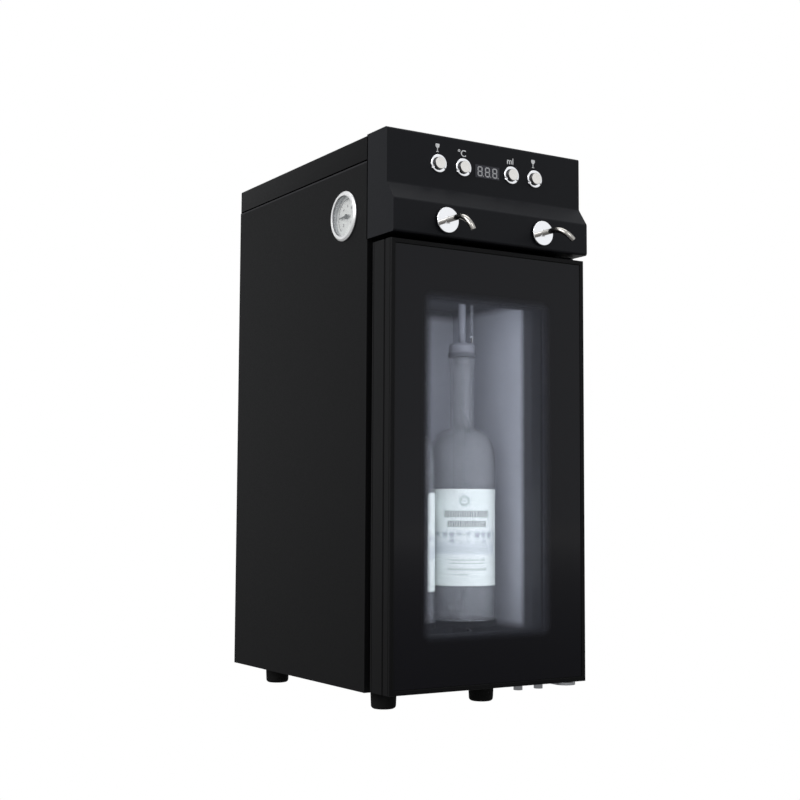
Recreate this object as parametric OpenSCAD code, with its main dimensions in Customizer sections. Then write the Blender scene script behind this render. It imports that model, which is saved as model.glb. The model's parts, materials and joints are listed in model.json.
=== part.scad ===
// Two-bottle wine preservation dispenser: a chilled counter-top cabinet with a glazed door below a
// sloping control head, two pouring spouts, inert-gas feed to the bottles and a pressure gauge.
// Every module works in cabinet coordinates: X to the right, Y to the back with 0 at the front edge
// of the side panels, Z up with 0 at the underside of the base plate.

/* [Cabinet] */
// Width across the side panels
cab_w = 250; // [244:1:300]
// Depth of the side panels
cab_d = 313; // [308:1:380]
// Height from the base plate's underside to the lid's top
cab_h = 577; // [570:1:640]
// Height of the lid's skirt, down to the seam on the side panels
lid_skirt = 24.5; // [18:0.5:32]
// Radius of the lid's long edges
lid_edge_r = 3; // [2:0.5:5]
// Thickness of the steel sheet
sheet = 1.2; // [0.8:0.1:1.5]
// Height of the upturned flange round the base plate
base_flange = 12; // [10:1:18]

/* [Feet] */
// Height of a rubber foot
foot_h = 20; // [16:1:30]
// Radius of a foot where it meets the base
foot_r = 13.8; // [12:0.1:18]
// Taper of a foot, taken off its radius at the floor
foot_taper = 0.8; // [0.5:0.1:3]
// Distance of the left feet and the rear right foot from the cabinet's sides
foot_inset_x = 34; // [20:1:40]
// Distance of the front left foot behind the cabinet's front edge
foot_front_y = 18; // [16:1:30]
// Distance of the rear feet from the front edge
foot_rear_y = 264; // [220:1:275]
// Place of the front right foot, set inwards to clear the hinge plate
foot_right_x = 31; // [0:1:40]

/* [Control head] */
// How far the fascia stands out past each side panel
head_over = 1; // [0.5:0.5:3]
// Height of the fascia
head_h = 111.5; // [108:0.5:125]
// How far the fascia stands above the lid
head_rise = 3; // [1:0.5:8]
// Reach of the upper face in front of the cabinet
head_top_reach = 40.5; // [38:0.5:44]
// Reach of the lower face in front of the cabinet
head_low_reach = 54; // [50:0.5:58]
// Height of the lower face
head_low_h = 34.5; // [32:0.5:38]
// Height of the slope between the two faces
head_slope_h = 19; // [14:0.5:22]
// Wall of the moulded fascia
head_wall = 2; // [1.6:0.1:3]

/* [Buttons and display] */
// Height of the row of buttons above the fascia's bottom edge
button_z = 80.5; // [79:0.5:84]
// Distance of the inner buttons from the middle
button_inner_x = 31.5; // [30:0.5:36]
// Distance of the outer buttons from the middle
button_outer_x = 63; // [58:0.5:66]
// Radius of a button's bezel
bezel_r = 9.7; // [9:0.1:11]
// Thickness of the bezel in front of the fascia
bezel_t = 2; // [1.5:0.1:3]
// Radius of a button's cap
cap_r = 6.4; // [6:0.1:6.8]
// How far a cap stands out of its bezel
cap_proud = 3; // [2:0.1:4]
// Travel of a button
button_travel = 1.5; // [1:0.1:2]
// Width of the display
display_w = 31.5; // [26:0.5:34]
// Height of the display
display_h = 14; // [12:0.5:18]

/* [Taps] */
// Distance of each spout from the middle
tap_x = 62; // [58:0.5:66]
// Height of a spout's axis above the fascia's bottom edge
tap_z = 17.5; // [17:0.5:18.5]
// Radius of the round plate behind a spout
plate_r = 13.3; // [12:0.1:15]
// How far the plate stands out of the fascia
plate_t = 4.6; // [3:0.1:5]
// Outer radius of the spout tube
spout_r = 3; // [2.8:0.1:3.5]
// Wall of the spout tube
spout_wall = 1; // [0.5:0.1:1.2]
// Straight part of the spout in front of the fascia
spout_run = 23; // [20:1:36]
// Radius of the spout's bend
spout_bend_r = 18; // [16:1:30]
// Angle of the bend
spout_angle = 85; // [50:1:90]
// Turn of the left spout from straight down towards the right
spout_turn_left = 21; // [-45:1:45]
// Turn of the right spout
spout_turn_right = 42; // [-45:1:45]

/* [Door] */
// Thickness of the door
door_t = 38; // [36:1:42]
// Gap between door and cabinet, filled by the gasket
door_gap = 11; // [9:0.5:12]
// Gap between the door and the fascia above it
door_top_gap = 5.5; // [5:0.5:8]
// Height of the door's lower edge above the base plate's underside
door_foot_gap = 2; // [2:0.5:4]
// Width of the frame's edge round the glass
lip_w = 5; // [4:0.5:6]
// How far the frame's edge stands in front of the glass
lip_proud = 1; // [0.5:0.5:2]
// Thickness of a glass pane
pane_t = 4; // [3:0.5:5]
// Air space between the two panes
pane_gap = 13; // [10:1:14]
// Width of the clear window
window_w = 159; // [140:1:170]
// Height of the clear window
window_h = 348; // [320:1:360]
// Distance of the hinge axis from the door's right edge
hinge_inset = 12; // [11:0.5:13]
// Distance of the hinge axis from the door's rear face
hinge_back = 17; // [15:0.5:20]
// Radius of the hinge pins
pin_r = 3; // [2.5:0.1:3.5]

/* [Bottle bay] */
// Clear width of the bay
bay_w = 196; // [188:1:200]
// Clear depth of the bay
bay_d = 170; // [165:1:175]
// Height of the bay's floor above the base plate's underside
bay_floor = 32; // [30:1:36]
// Insulation above the bay
roof_t = 22; // [18:1:28]
// Wall of the moulded liner
liner_t = 2; // [1.5:0.1:3]
// Distance between the two bottles' axes
bottle_pitch = 82; // [80:1:86]
// Distance of the bottles' axes behind the cabinet's front edge
bottle_y = 67; // [64:1:72]
// Radius of a bottle's body
bottle_r = 38; // [34:0.5:38]
// Room between the bottles' mouths and the bay's ceiling, for the stoppers
neck_room = 70; // [66:1:76]
// Height of a bottle's base above the bay's floor
tray_lift = 28; // [27:1:34]
// How far a tray goes down
tray_travel = 20; // [14:1:20]

/* [Pressure gauge] */
// Distance of the gauge's axis behind the cabinet's front edge
gauge_y = 49.3; // [45:0.1:58]
// Height of the gauge's axis above the fascia's bottom edge
gauge_z = 33.3; // [32:0.1:36]
// Outer radius of the gauge's chrome ring
gauge_r = 27.1; // [25:0.1:30]
// Depth of the gauge's case behind the side panel
gauge_d = 27; // [24:1:30]

/* [Cooling] */
// Height of the cooling unit's axis above the base plate's underside
cool_z = 235; // [200:1:260]
// Side of the rear fan
fan_w = 92; // [80:1:92]
// Thickness of the rear fan
fan_t = 25; // [20:1:28]
// Side of the small fan inside the bay
inner_fan_w = 60; // [56:1:66]
// Number of fins on the rear heat sink
fin_count = 15; // [9:2:19]
// Width of the rear heat sink
hot_w = 104; // [94:1:110]
// Depth of the rear heat sink's fins
hot_fin_d = 50; // [30:1:56]

/* [Hidden] */
$fn = 64;

// Colours
paint = "#232325";
plastic = "#29292b";
chrome = "#d8dadc";
steel = "#aeb1b5";
liner_grey = "#b9bcc2";
foam_cream = "#e6dcbf";
board_green = "#1f5a3a";
brass = "#b8995a";
rubber = "#151515";
clear_tube = "#dfe3e6";
bottle_glass = "#5c6f62";

// Fits
slip = 0.05;   // radial clearance of a running fit
loose = 0.1;   // radial clearance of a screw or a tube in its hole
seat = 0.3;    // gap between two moving pieces that meet at rest
past = 1;      // how far a cutting shape runs past the face that it cuts

// Levels, measured from the underside of the base plate
head_bottom = cab_h + head_rise - head_h;
head_top = cab_h + head_rise;
seam_z = cab_h - lid_skirt;
door_z0 = door_foot_gap;
door_z1 = head_bottom - door_top_gap;
door_h = door_z1 - door_z0;
shelf_drop = 16.5;
shelf_z = head_bottom - shelf_drop;
bay_top = shelf_z - roof_t;
tray_top = bay_floor + tray_lift;
bottle_top = bay_top - neck_room;
bottle_h = bottle_top - tray_top;
button_row_z = head_bottom + button_z;
tap_axis_z = head_bottom + tap_z;
gauge_axis_z = head_bottom + gauge_z;

// Widths
side_x = cab_w/2;
inner_x = side_x - sheet;
head_x = side_x + head_over;
bottles_x = [-bottle_pitch/2, bottle_pitch/2];

// Depths of the door, from its rear face to its front
door_back_y = -door_gap;
door_front_y = door_back_y - door_t;
glass_y0 = door_front_y + lip_proud;
glass_y1 = glass_y0 + pane_t;
inner_glass_y0 = glass_y1 + pane_gap;
inner_glass_y1 = inner_glass_y0 + pane_t;
window_z = (door_z0 + door_z1)/2;
hinge_x = side_x - hinge_inset;
hinge_y = door_back_y - hinge_back;

// Depths behind the bay
liner_back = bay_d + liner_t;
back_insulation = 23;
bulkhead_y = liner_back + back_insulation;
rear_in_y = cab_d - sheet;

// Reach of the whole object, which puts the origin under the middle of its box
spout_reach = head_low_reach + spout_run + (spout_bend_r + spout_r)*sin(spout_angle);
fitting_out = 12;
middle_y = (cab_d + fitting_out - spout_reach)/2;

// Puts cabinet coordinates into the part's frame
module placed() translate([0, -middle_y, foot_h]) children();

// A box given by its three spans
module block(x, y, z) translate([x[0], y[0], z[0]]) cube([x[1] - x[0], y[1] - y[0], z[1] - z[0]]);

// A box centred on the middle plane, w wide
module wide_block(w, y, z) block([-w/2, w/2], y, z);

// Round bars along the three axes, between two places
module bar_x(x, y, z, r) translate([x[0], y, z]) rotate([0, 90, 0]) cylinder(h = x[1] - x[0], r = r);
module bar_y(x, y, z, r) translate([x, y[0], z]) rotate([-90, 0, 0]) cylinder(h = y[1] - y[0], r = r);
module bar_z(x, y, z, r) translate([x, y, z[0]]) cylinder(h = z[1] - z[0], r = r);

// A straight piece of tube along +Z and a bent one from the +X side towards +Y
module tube(h, r, bore) difference() {
  cylinder(h = h, r = r);
  translate([0, 0, -past]) cylinder(h = h + 2*past, r = bore);
}
module tube_bend(big_r, a, r, bore) rotate_extrude(angle = a) translate([big_r, 0]) difference() {
  circle(r = r);
  circle(r = bore);
}

// Turns a shape drawn in the XY plane into the YZ plane
module in_side_view() rotate([90, 0, 90]) children();

// Puts a turned shape, drawn along +Z, on an axis that points to the front
module facing_front(x, y, z) translate([x, y, z]) rotate([90, 0, 0]) children();

function unit(v) = v/norm(v);

// Points of a corner at p rounded by radius r, between the neighbours a and b
function rounded(a, p, b, r, n = 5) =
  let (u = unit(a - p), v = unit(b - p), half = acos(u*v)/2, m = unit(u + v), c = p + m*r/sin(half),
       turn = 90 - half, s = cross([u.x, u.y, 0], [v.x, v.y, 0]).z > 0 ? 1 : -1)
  [for (i = [0 : n]) let (t = s*(turn - 2*turn*i/n))
    c - r*[m.x*cos(t) - m.y*sin(t), m.x*sin(t) + m.y*cos(t)]];

// Outline whose corners are rounded by the radii in the list, 0 for a sharp one
function softened(pts, radii) = [for (i = [0 : len(pts) - 1])
  each radii[i] == 0 ? [pts[i]]
    : rounded(pts[(i + len(pts) - 1) % len(pts)], pts[i], pts[(i + 1) % len(pts)], radii[i])];

// Extrudes a (y, z) outline across the cabinet, w wide about the middle
module across(w) rotate([90, 0, 90]) translate([0, 0, -w/2]) linear_extrude(w) children();

// Extrudes an (x, z) outline along Y, from y0 over a depth d
module deep(y0, d) translate([0, y0 + d, 0]) rotate([90, 0, 0]) linear_extrude(d) children();

module rounded_rect(w, h, r) {
  square([w - 2*r, h], center = true);
  square([w, h - 2*r], center = true);
  for (x = [-1, 1], z = [-1, 1]) translate([x*(w/2 - r), z*(h/2 - r)]) circle(r = r);
}

module slot(w, h) {
  square([w - h, h], center = true);
  for (x = [-1, 1]) translate([x*(w - h)/2, 0]) circle(r = h/2);
}

// ---- Casing ----

screw_r = 1.9;
screw_hole_r = screw_r + loose;
flange_w = 14;
rear_screw_x = inner_x - flange_w/2;
rear_screw_z = [30, seam_z/2, seam_z - 20];
gauge_ring_w = 2.5;
gauge_hole_r = gauge_r - gauge_ring_w;

// A side sheet with its rear edge returned behind the rear panel to take the screws
module side_panel(s) difference() {
  union() {
    block(s > 0 ? [inner_x, side_x] : [-side_x, -inner_x], [0, cab_d], [0, seam_z]);
    block(s > 0 ? [inner_x - flange_w, inner_x] : [-inner_x, flange_w - inner_x],
      [rear_in_y - sheet, rear_in_y], [base_flange + past, seam_z - past]);
  }
  for (z = rear_screw_z) bar_y(s*rear_screw_x, [rear_in_y - sheet - past, cab_d], z, screw_hole_r);
}

module left_side_panel() color(paint) placed() difference() {
  side_panel(-1);
  bar_x([-side_x - past, past - inner_x], gauge_y, gauge_axis_z, gauge_hole_r);
}

module right_side_panel() color(paint) placed() side_panel(1);

// A cap with rounded long edges and a skirt flush with the side panels and the rear panel
module top_lid() color(paint) placed() difference() {
  deep(0, cab_d) polygon(softened(
    [[-side_x, seam_z], [side_x, seam_z], [side_x, cab_h], [-side_x, cab_h]],
    [0, 0, lid_edge_r, lid_edge_r]));
  wide_block(2*inner_x, [-past, rear_in_y], [seam_z - past, cab_h - sheet]);
}

gas_x = 45 - side_x;
fitting_neck_r = 5;
inlet_x = 47 - side_x;
inlet_z = 42;
inlet_w = 27;
inlet_h = 20;
fan_duct_r = fan_w/2 - 3;
fan_hole_d = fan_w/2 - 5;
slot_w = 60;
slot_h = 4;
slot_pitch = 9;
slot_fields = [[90, 9], [seam_z - 150, 6]];   // height of the lowest slot and the number of rows

// Flat sheet with the fan's opening, two fields of vent slots, the gas port and the mains inlet
module rear_panel() color(paint) placed() difference() {
  wide_block(2*inner_x, [rear_in_y, cab_d], [0, seam_z]);
  bar_y(0, [rear_in_y - past, cab_d + past], cool_z, fan_duct_r);
  for (field = slot_fields, row = [0 : field[1] - 1], s = [-1, 1])
    translate([s*(slot_w/2 + 8), 0, field[0] + row*slot_pitch]) deep(rear_in_y - past, sheet + 2*past)
      slot(slot_w, slot_h);
  bar_y(gas_x, [rear_in_y - past, cab_d + past], gauge_axis_z, fitting_neck_r + loose);
  block([inlet_x - inlet_w/2, inlet_x + inlet_w/2], [rear_in_y - past, cab_d + past],
    [inlet_z - inlet_h/2, inlet_z + inlet_h/2]);
  for (s = [-1, 1], z = rear_screw_z) bar_y(s*rear_screw_x, [rear_in_y - past, cab_d + past], z, screw_hole_r);
  for (x = [-1, 1], z = [-1, 1])
    bar_y(x*fan_hole_d, [rear_in_y - past, cab_d + past], cool_z + z*fan_hole_d, screw_hole_r);
}

bolt_r = 3;
bolt_x = [hinge_x - 34, hinge_x - 6];
bolt_y = 12;
foot_screw_r = 2.5;
feet_at = [[-side_x + foot_inset_x, foot_front_y], [foot_right_x, foot_front_y - 3],
           [-side_x + foot_inset_x, foot_rear_y], [side_x - foot_inset_x, foot_rear_y]];

// A shallow tray of sheet steel that closes the bottom and takes the feet and the lower hinge
module base_plate() color(paint) placed() difference() {
  wide_block(2*inner_x, [sheet, rear_in_y], [0, base_flange]);
  wide_block(2*(inner_x - sheet), [2*sheet, rear_in_y - sheet], [sheet, base_flange + past]);
  for (p = feet_at) bar_z(p.x, p.y, [-past, sheet + past], foot_screw_r + loose);
  for (x = bolt_x) bar_z(x, bolt_y, [-past, sheet + past], bolt_r + loose);
}

small_screw_r = 1.4;
leg_h = 11;
upper_t = 2;
bush_flange_t = door_foot_gap - seat;
upper_plate_z = door_z1 + bush_flange_t + seat;
leg_screw_z = upper_plate_z + upper_t - leg_h/2;
arm_x = [hinge_x - 12, hinge_x + 11];
leg_screw_x = [arm_x[0] + 5, arm_x[1] - 5];

// Flat steel face round the mouth of the bay, where the door's gasket closes
module front_frame() color(paint) placed() difference() {
  wide_block(2*inner_x, [0, sheet], [0, head_bottom]);
  wide_block(bay_w, [-past, sheet + past], [bay_floor, bay_top]);
  for (x = leg_screw_x) bar_y(x, [-past, sheet + past], leg_screw_z, small_screw_r + loose);
}

// ---- Insulated bay ----

tube_r = 2.5;
tube_bore = 1.5;
gas_tube_r = 2;
gas_port = [8, -8];   // place of the gas tube beside the wine tube, over each bottle
block_w = 40;
well_r = 16;
well_wall = 1.5;
bay_corner_r = 8;

// Vertical holes for the wine and gas tubes above each bottle
module riser_holes(z, clear) for (x = bottles_x) {
  bar_z(x, bottle_y, z, tube_r + clear);
  bar_z(x + gas_port.x, bottle_y + gas_port.y, z, gas_tube_r + clear);
}

// Moulded box, open at the front, with rounded inner corners
module inner_liner() color(liner_grey) placed() difference() {
  wide_block(bay_w + 2*liner_t, [sheet, liner_back], [bay_floor - liner_t, bay_top + liner_t]);
  translate([0, 0, (bay_floor + bay_top)/2]) deep(-past, bay_d + past)
    rounded_rect(bay_w, bay_top - bay_floor, bay_corner_r);
  wide_block(block_w + 2*loose, [bay_d - past, liner_back + past],
    [cool_z - block_w/2 - loose, cool_z + block_w/2 + loose]);
  riser_holes([bay_top - past, bay_top + liner_t + past], loose);
  for (x = bottles_x) bar_z(x, bottle_y, [bay_floor - liner_t - past, bay_floor + past], well_r + loose);
}

well_z0 = 3;
screw_clear = 3;
screw_clear_h = 10;

// Foamed insulation that fills the space between the liner and the casing
module insulation_foam() color(foam_cream) placed() difference() {
  union() {
    wide_block(2*inner_x, [sheet, bulkhead_y], [base_flange, shelf_z]);
    wide_block(2*(inner_x - sheet), [2*sheet, bulkhead_y], [sheet, base_flange]);
  }
  wide_block(bay_w + 2*liner_t, [0, liner_back], [bay_floor - liner_t, bay_top + liner_t]);
  wide_block(block_w + 2*loose, [bay_d, bulkhead_y + past],
    [cool_z - block_w/2 - loose, cool_z + block_w/2 + loose]);
  riser_holes([bay_top, shelf_z + past], 1);
  for (x = bottles_x) bar_z(x, bottle_y, [well_z0, bay_floor], well_r + loose);
  for (p = feet_at) bar_z(p.x, p.y, [0, screw_clear_h], foot_screw_r + screw_clear);
  for (x = bolt_x) bar_z(x, bolt_y, [0, screw_clear_h], bolt_r + screw_clear);
}

// One bent sheet: the shelf under the control head and the wall in front of the rear compartment
module inner_bulkhead() color(steel) placed() difference() {
  union() {
    wide_block(2*inner_x, [sheet, bulkhead_y + sheet], [shelf_z, shelf_z + sheet]);
    wide_block(2*inner_x, [bulkhead_y, bulkhead_y + sheet], [base_flange, shelf_z + sheet]);
    wide_block(2*(inner_x - sheet), [bulkhead_y, bulkhead_y + sheet], [sheet, base_flange + past]);
  }
  wide_block(block_w + 4, [bulkhead_y - past, bulkhead_y + sheet + past],
    [cool_z - block_w/2 - 2, cool_z + block_w/2 + 2]);
  riser_holes([shelf_z - past, shelf_z + sheet + past], 1);
}

// ---- Control head ----

head_face_y = -head_top_reach;
head_low_y = -head_low_reach;
face_in_y = head_face_y + head_wall;
low_in_y = head_low_y + head_wall;
boss_x = 84;
boss_r = 4;
boss_dz = 14;
barrel_r = 7.8;
board_y = face_in_y + 21.5;
display_z = [button_row_z - 1 - display_h/2, button_row_z - 1 + display_h/2];
valve_w = 22;
valve_z0 = tap_axis_z - valve_w/2;
nose_y = low_in_y + 2;
valve_nose = 6;
valve_d = 32;
valve_y = [nose_y + valve_nose, nose_y + valve_nose + valve_d];
pad_y = [valve_y[0] + 4, valve_y[1] - 4];
buttons_x = [-button_outer_x, -button_inner_x, button_inner_x, button_outer_x];

// Profile of the fascia, seen from its side, and of its inside one wall further back
head_profile = [[0, head_bottom], [head_low_y, head_bottom], [head_low_y, head_bottom + head_low_h],
  [head_face_y, head_bottom + head_low_h + head_slope_h], [head_face_y, head_top], [0, head_top]];
head_radii = [0, 2.5, 4, 4, 2.5, 0];
head_cavity = [[past, head_bottom + head_wall], [low_in_y, head_bottom + head_wall],
  [low_in_y, head_bottom + head_low_h], [face_in_y, head_bottom + head_low_h + head_slope_h],
  [face_in_y, head_top - head_wall], [past, head_top - head_wall]];

// Moulded fascia, closed at both ends and open to the cabinet, with bosses for the board and pads
// that carry the valves
module head_fascia() color(plastic) placed() difference() {
  union() {
    difference() {
      across(2*head_x) polygon(softened(head_profile, head_radii));
      across(2*(head_x - head_wall)) polygon(head_cavity);
    }
    for (x = [-1, 1], z = [-1, 1]) bar_y(x*boss_x, [face_in_y - head_wall/2, board_y],
      button_row_z + z*boss_dz, boss_r);
    for (s = [-1, 1]) block([s*tap_x - 9, s*tap_x + 9], pad_y, [head_bottom + head_wall/2, valve_z0]);
  }
  for (x = [-1, 1], z = [-1, 1]) bar_y(x*boss_x, [board_y - 8, board_y + past],
    button_row_z + z*boss_dz, small_screw_r);
  for (x = buttons_x) bar_y(x, [head_face_y - past, face_in_y + past], button_row_z, barrel_r + loose);
  wide_block(display_w, [head_face_y - past, face_in_y + past], display_z);
  for (s = [-1, 1]) bar_y(s*tap_x, [head_low_y - past, low_in_y + past], tap_axis_z, spout_r + 1.5);
}

// Smoked window of the display, set in its opening
module display_lens() color("#3a3c40") placed() wide_block(display_w, [head_face_y - 0.4, face_in_y], display_z);

board_t = 1.6;
relay_x = [-60, -26, 8, 42];
relay_w = 18;
// Circuit board with the display's block in front and the relays behind
module control_board() color(board_green) placed() difference() {
  union() {
    wide_block(2*(boss_x + 8), [board_y, board_y + board_t],
      [button_row_z - boss_dz - 6, button_row_z + boss_dz + 6]);
    wide_block(display_w, [face_in_y, board_y + board_t/2], display_z);
    for (x = relay_x) block([x, x + relay_w], [board_y + board_t/2, board_y + board_t + 11],
      [button_row_z - 12, button_row_z + 4]);
  }
  for (x = [-1, 1], z = [-1, 1]) bar_y(x*boss_x, [board_y - past, board_y + board_t + past],
    button_row_z + z*boss_dz, small_screw_r + loose);
}

cap_depth = 3;    // how far a cap reaches behind the fascia's face at rest
stem_r = 3;
stem_l = 6;
notch_w = 1.6;
notch_at = [-35, 210];
// Notched bezel, threaded barrel and ring nut of the four push buttons
module button_housings() color(chrome) placed() for (x = buttons_x) difference() {
  union() {
    facing_front(x, head_face_y, button_row_z) rotate_extrude() polygon(softened(
      [[0, 0], [bezel_r, 0], [bezel_r, bezel_t], [0, bezel_t]], [0, 0, 0.9, 0]));
    bar_y(x, [head_face_y - bezel_t/2, board_y], button_row_z, barrel_r);
    bar_y(x, [face_in_y, face_in_y + 3], button_row_z, barrel_r + 2);
  }
  facing_front(x, head_face_y + cap_depth + button_travel + stem_l + 2*loose, button_row_z) rotate_extrude()
    polygon([[0, 0], [stem_r + slip, 0], [stem_r + slip, stem_l + loose], [cap_r + slip, stem_l + loose],
      [cap_r + slip, stem_l + cap_depth + button_travel + bezel_t - 0.3],
      [cap_r + 0.5, stem_l + cap_depth + button_travel + bezel_t + past], [0, stem_l + 20]]);
  translate([x, 0, button_row_z]) for (a = notch_at) rotate([0, -a, 0])
    block([bezel_r - 1.8, bezel_r + past], [head_face_y - bezel_t - past, head_face_y - 0.5],
      [-notch_w/2, notch_w/2]);
}

// A cap with a shallow dished face and the stem that works the switch
module button(i) color(chrome) placed() facing_front(buttons_x[i], head_face_y + cap_depth + stem_l, button_row_z)
  rotate_extrude() polygon(softened(
    [[0, 0], [stem_r, 0], [stem_r, stem_l], [cap_r, stem_l], [cap_r, stem_l + cap_depth + bezel_t + cap_proud],
     [cap_r - 1.2, stem_l + cap_depth + bezel_t + cap_proud],
     [0, stem_l + cap_depth + bezel_t + cap_proud - 0.3]], [0, 0.3, 0, 0, 0.7, 0, 0]));
module button_1() button(0);
module button_2() button(1);
module button_3() button(2);
module button_4() button(3);

// ---- Taps and wine lines ----

spout_y1 = nose_y + 8;
port_y = (valve_y[0] + valve_y[1])/2 + 6;
port_in = 5;       // how far a line goes into the valve's side
chamber_r = 2.2;
coil_in = 7;
coil_d = 21;
coil_h = 22;
coil_w = 20;
coil_y = [valve_y[0] + coil_in, valve_y[0] + coil_in + coil_d];
// Two-way valve with its coil on top, one behind each spout, fed from its inner side
module solenoid_valves() color(steel) placed() for (s = [-1, 1]) difference() {
  union() {
    block([s*tap_x - valve_w/2, s*tap_x + valve_w/2], valve_y, [valve_z0, valve_z0 + valve_w]);
    bar_y(s*tap_x, [nose_y, valve_y[0] + past], tap_axis_z, 6);
    bar_z(s*tap_x, (coil_y[0] + coil_y[1])/2, [valve_z0 + valve_w - past, valve_z0 + valve_w + 5], 7);
    block([s*tap_x - coil_w/2, s*tap_x + coil_w/2], coil_y,
      [valve_z0 + valve_w + 4, valve_z0 + valve_w + 4 + coil_h]);
  }
  bar_y(s*tap_x, [nose_y - past, spout_y1], tap_axis_z, spout_r + slip);
  bar_y(s*tap_x, [spout_y1 - past, port_y + chamber_r + 0.5], tap_axis_z, chamber_r);
  translate([s*(tap_x - valve_w/2 - past), port_y, tap_axis_z]) rotate([0, s*90, 0]) {
    cylinder(h = port_in + past, r = tube_r + loose);
    cylinder(h = valve_w/2 + past, r = tube_bore);
  }
}

plate_rim = 1.6;
plate_dome = 0.4;
// Round polished plate behind each spout, slightly domed, on a smaller collar
module tap_escutcheons() color(chrome) placed() for (s = [-1, 1]) facing_front(s*tap_x, head_low_y, tap_axis_z)
  rotate_extrude() polygon(softened([[spout_r + loose, 0], [0.7*plate_r, 0],
    [0.7*plate_r, plate_t - plate_rim - plate_dome], [plate_r, plate_t - plate_rim - plate_dome],
    [plate_r, plate_t - plate_dome], [spout_r + loose, plate_t]], [0, 0, 0, 0.3, 0.5, 0]));

// A pouring spout, straight out of the valve and bent down, with a square-cut mouth
module spout(s, turn) color(chrome) placed() translate([s*tap_x, head_low_y - spout_run, tap_axis_z])
  rotate([0, -turn, 0]) {
  bore = spout_r - spout_wall;
  rotate([-90, 0, 0]) tube(spout_y1 - seat - head_low_y + spout_run, spout_r, bore);
  translate([0, 0, -spout_bend_r]) in_side_view() rotate(90) tube_bend(spout_bend_r, spout_angle, spout_r, bore);
}
module spout_left() spout(-1, spout_turn_left);
module spout_right() spout(1, spout_turn_right);

line_bend_r = 12;
port_bend_r = 7;
dip_end = tray_top + 15;
line_top = tap_axis_z - line_bend_r;

// The right line's path: up from the bottom of the bottle, forwards above the shelf and into the
// side of the valve
module wine_line() {
  translate([bottle_pitch/2, bottle_y, dip_end]) tube(line_top - dip_end, tube_r, tube_bore);
  translate([bottle_pitch/2, bottle_y - line_bend_r, line_top]) in_side_view()
    tube_bend(line_bend_r, 90, tube_r, tube_bore);
  translate([bottle_pitch/2, port_y + port_bend_r, tap_axis_z]) rotate([-90, 0, 0])
    tube(bottle_y - line_bend_r - port_y - port_bend_r, tube_r, tube_bore);
  translate([bottle_pitch/2 + port_bend_r, port_y + port_bend_r, tap_axis_z]) rotate(180)
    tube_bend(port_bend_r, 90, tube_r, tube_bore);
  translate([bottle_pitch/2 + port_bend_r, port_y, tap_axis_z]) rotate([0, 90, 0])
    tube(tap_x - valve_w/2 + port_in - bottle_pitch/2 - port_bend_r, tube_r, tube_bore);
}
module wine_lines() color(clear_tube) placed() {
  wine_line();
  mirror([1, 0, 0]) wine_line();
}

// ---- Gas ----

gauge_x1 = -side_x + gauge_d;
manifold_x = [gauge_x1 + 6, gauge_x1 + 32];
manifold_up = 12;      // how far the block reaches above the gauge's axis
manifold_down = 14;    // and below it
manifold_y = [gauge_y - 12, gauge_y + 16];
fitting_r = 7;
fitting_bore = 3.1;
fitting_in = 18;
feed_r = 3;
rail_y = bottle_y + gas_port.y;
rail_z = gauge_axis_z - 8;
stopper_z0 = bottle_top + seat;
flange_t = 5;
head_z0 = stopper_z0 + flange_t;
holder_h = 11;
holder_r = 15;
port_depth = 5;

// Feed from the rear fitting to the manifold, and the rail that drops to both stoppers
module gas_lines() color(clear_tube) placed() {
  bar_y(gas_x, [manifold_y[1], rear_in_y - fitting_in], gauge_axis_z, feed_r);
  bar_x([manifold_x[1], bottles_x[1] + gas_port.x], rail_y, rail_z, gas_tube_r);
  for (x = bottles_x) bar_z(x + gas_port.x, rail_y, [head_z0 + holder_h - port_depth, rail_z], gas_tube_r);
  translate([bottles_x[1] + gas_port.x, rail_y, rail_z]) sphere(r = gas_tube_r);
}

gauge_stem_r = 5;
// Aluminium block on a foot, which joins the feed, the gauge and the rail
module gas_manifold() color(steel) placed() difference() {
  union() {
    block(manifold_x, manifold_y, [gauge_axis_z - manifold_down, gauge_axis_z + manifold_up]);
    block([manifold_x[0] + 6, manifold_x[1] - 6], [gauge_y - 6, gauge_y + 8],
      [shelf_z + sheet, gauge_axis_z - manifold_down + 1]);
    block(manifold_x, [gauge_y - 12, gauge_y + 14], [shelf_z + sheet, shelf_z + sheet + 3]);
  }
  bar_x([manifold_x[0] - past, manifold_x[0] + 7], gauge_y, gauge_axis_z, gauge_stem_r + loose);
}

// Push-in bulkhead connector for the gas hose, on the rear panel
module gas_inlet_fitting() color(brass) placed() difference() {
  union() {
    bar_y(gas_x, [cab_d, cab_d + fitting_out], gauge_axis_z, fitting_r);
    bar_y(gas_x, [rear_in_y - past, cab_d + past], gauge_axis_z, fitting_neck_r);
    translate([gas_x, rear_in_y - 8, gauge_axis_z]) rotate([-90, 0, 0]) cylinder(h = 8, r = 9, $fn = 6);
    bar_y(gas_x, [rear_in_y - fitting_in, rear_in_y - 7], gauge_axis_z, fitting_r);
  }
  bar_y(gas_x, [cab_d, cab_d + fitting_out + past], gauge_axis_z, fitting_bore);
}

hanger_r = 4.2;
// Stainless holder of each stopper, hung from the bay's ceiling on a hollow stem
module stopper_heads() color(steel) placed() for (x = bottles_x) difference() {
  translate([x, bottle_y, head_z0]) rotate_extrude() polygon(softened(
    [[0, 0], [holder_r, 0], [holder_r, holder_h - 3], [holder_r - 3, holder_h], [hanger_r, holder_h],
     [hanger_r, bay_top - head_z0 - 3], [14, bay_top - head_z0 - 3], [14, bay_top - head_z0],
     [0, bay_top - head_z0]], [0, 0.5, 1, 0.8, 0, 0, 0.8, 0, 0]));
  bar_z(x, bottle_y, [head_z0 - past, bay_top + past], tube_r + loose);
  bar_z(x + gas_port.x, rail_y, [head_z0 + holder_h - port_depth, bay_top + past], gas_tube_r + loose);
}

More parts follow.
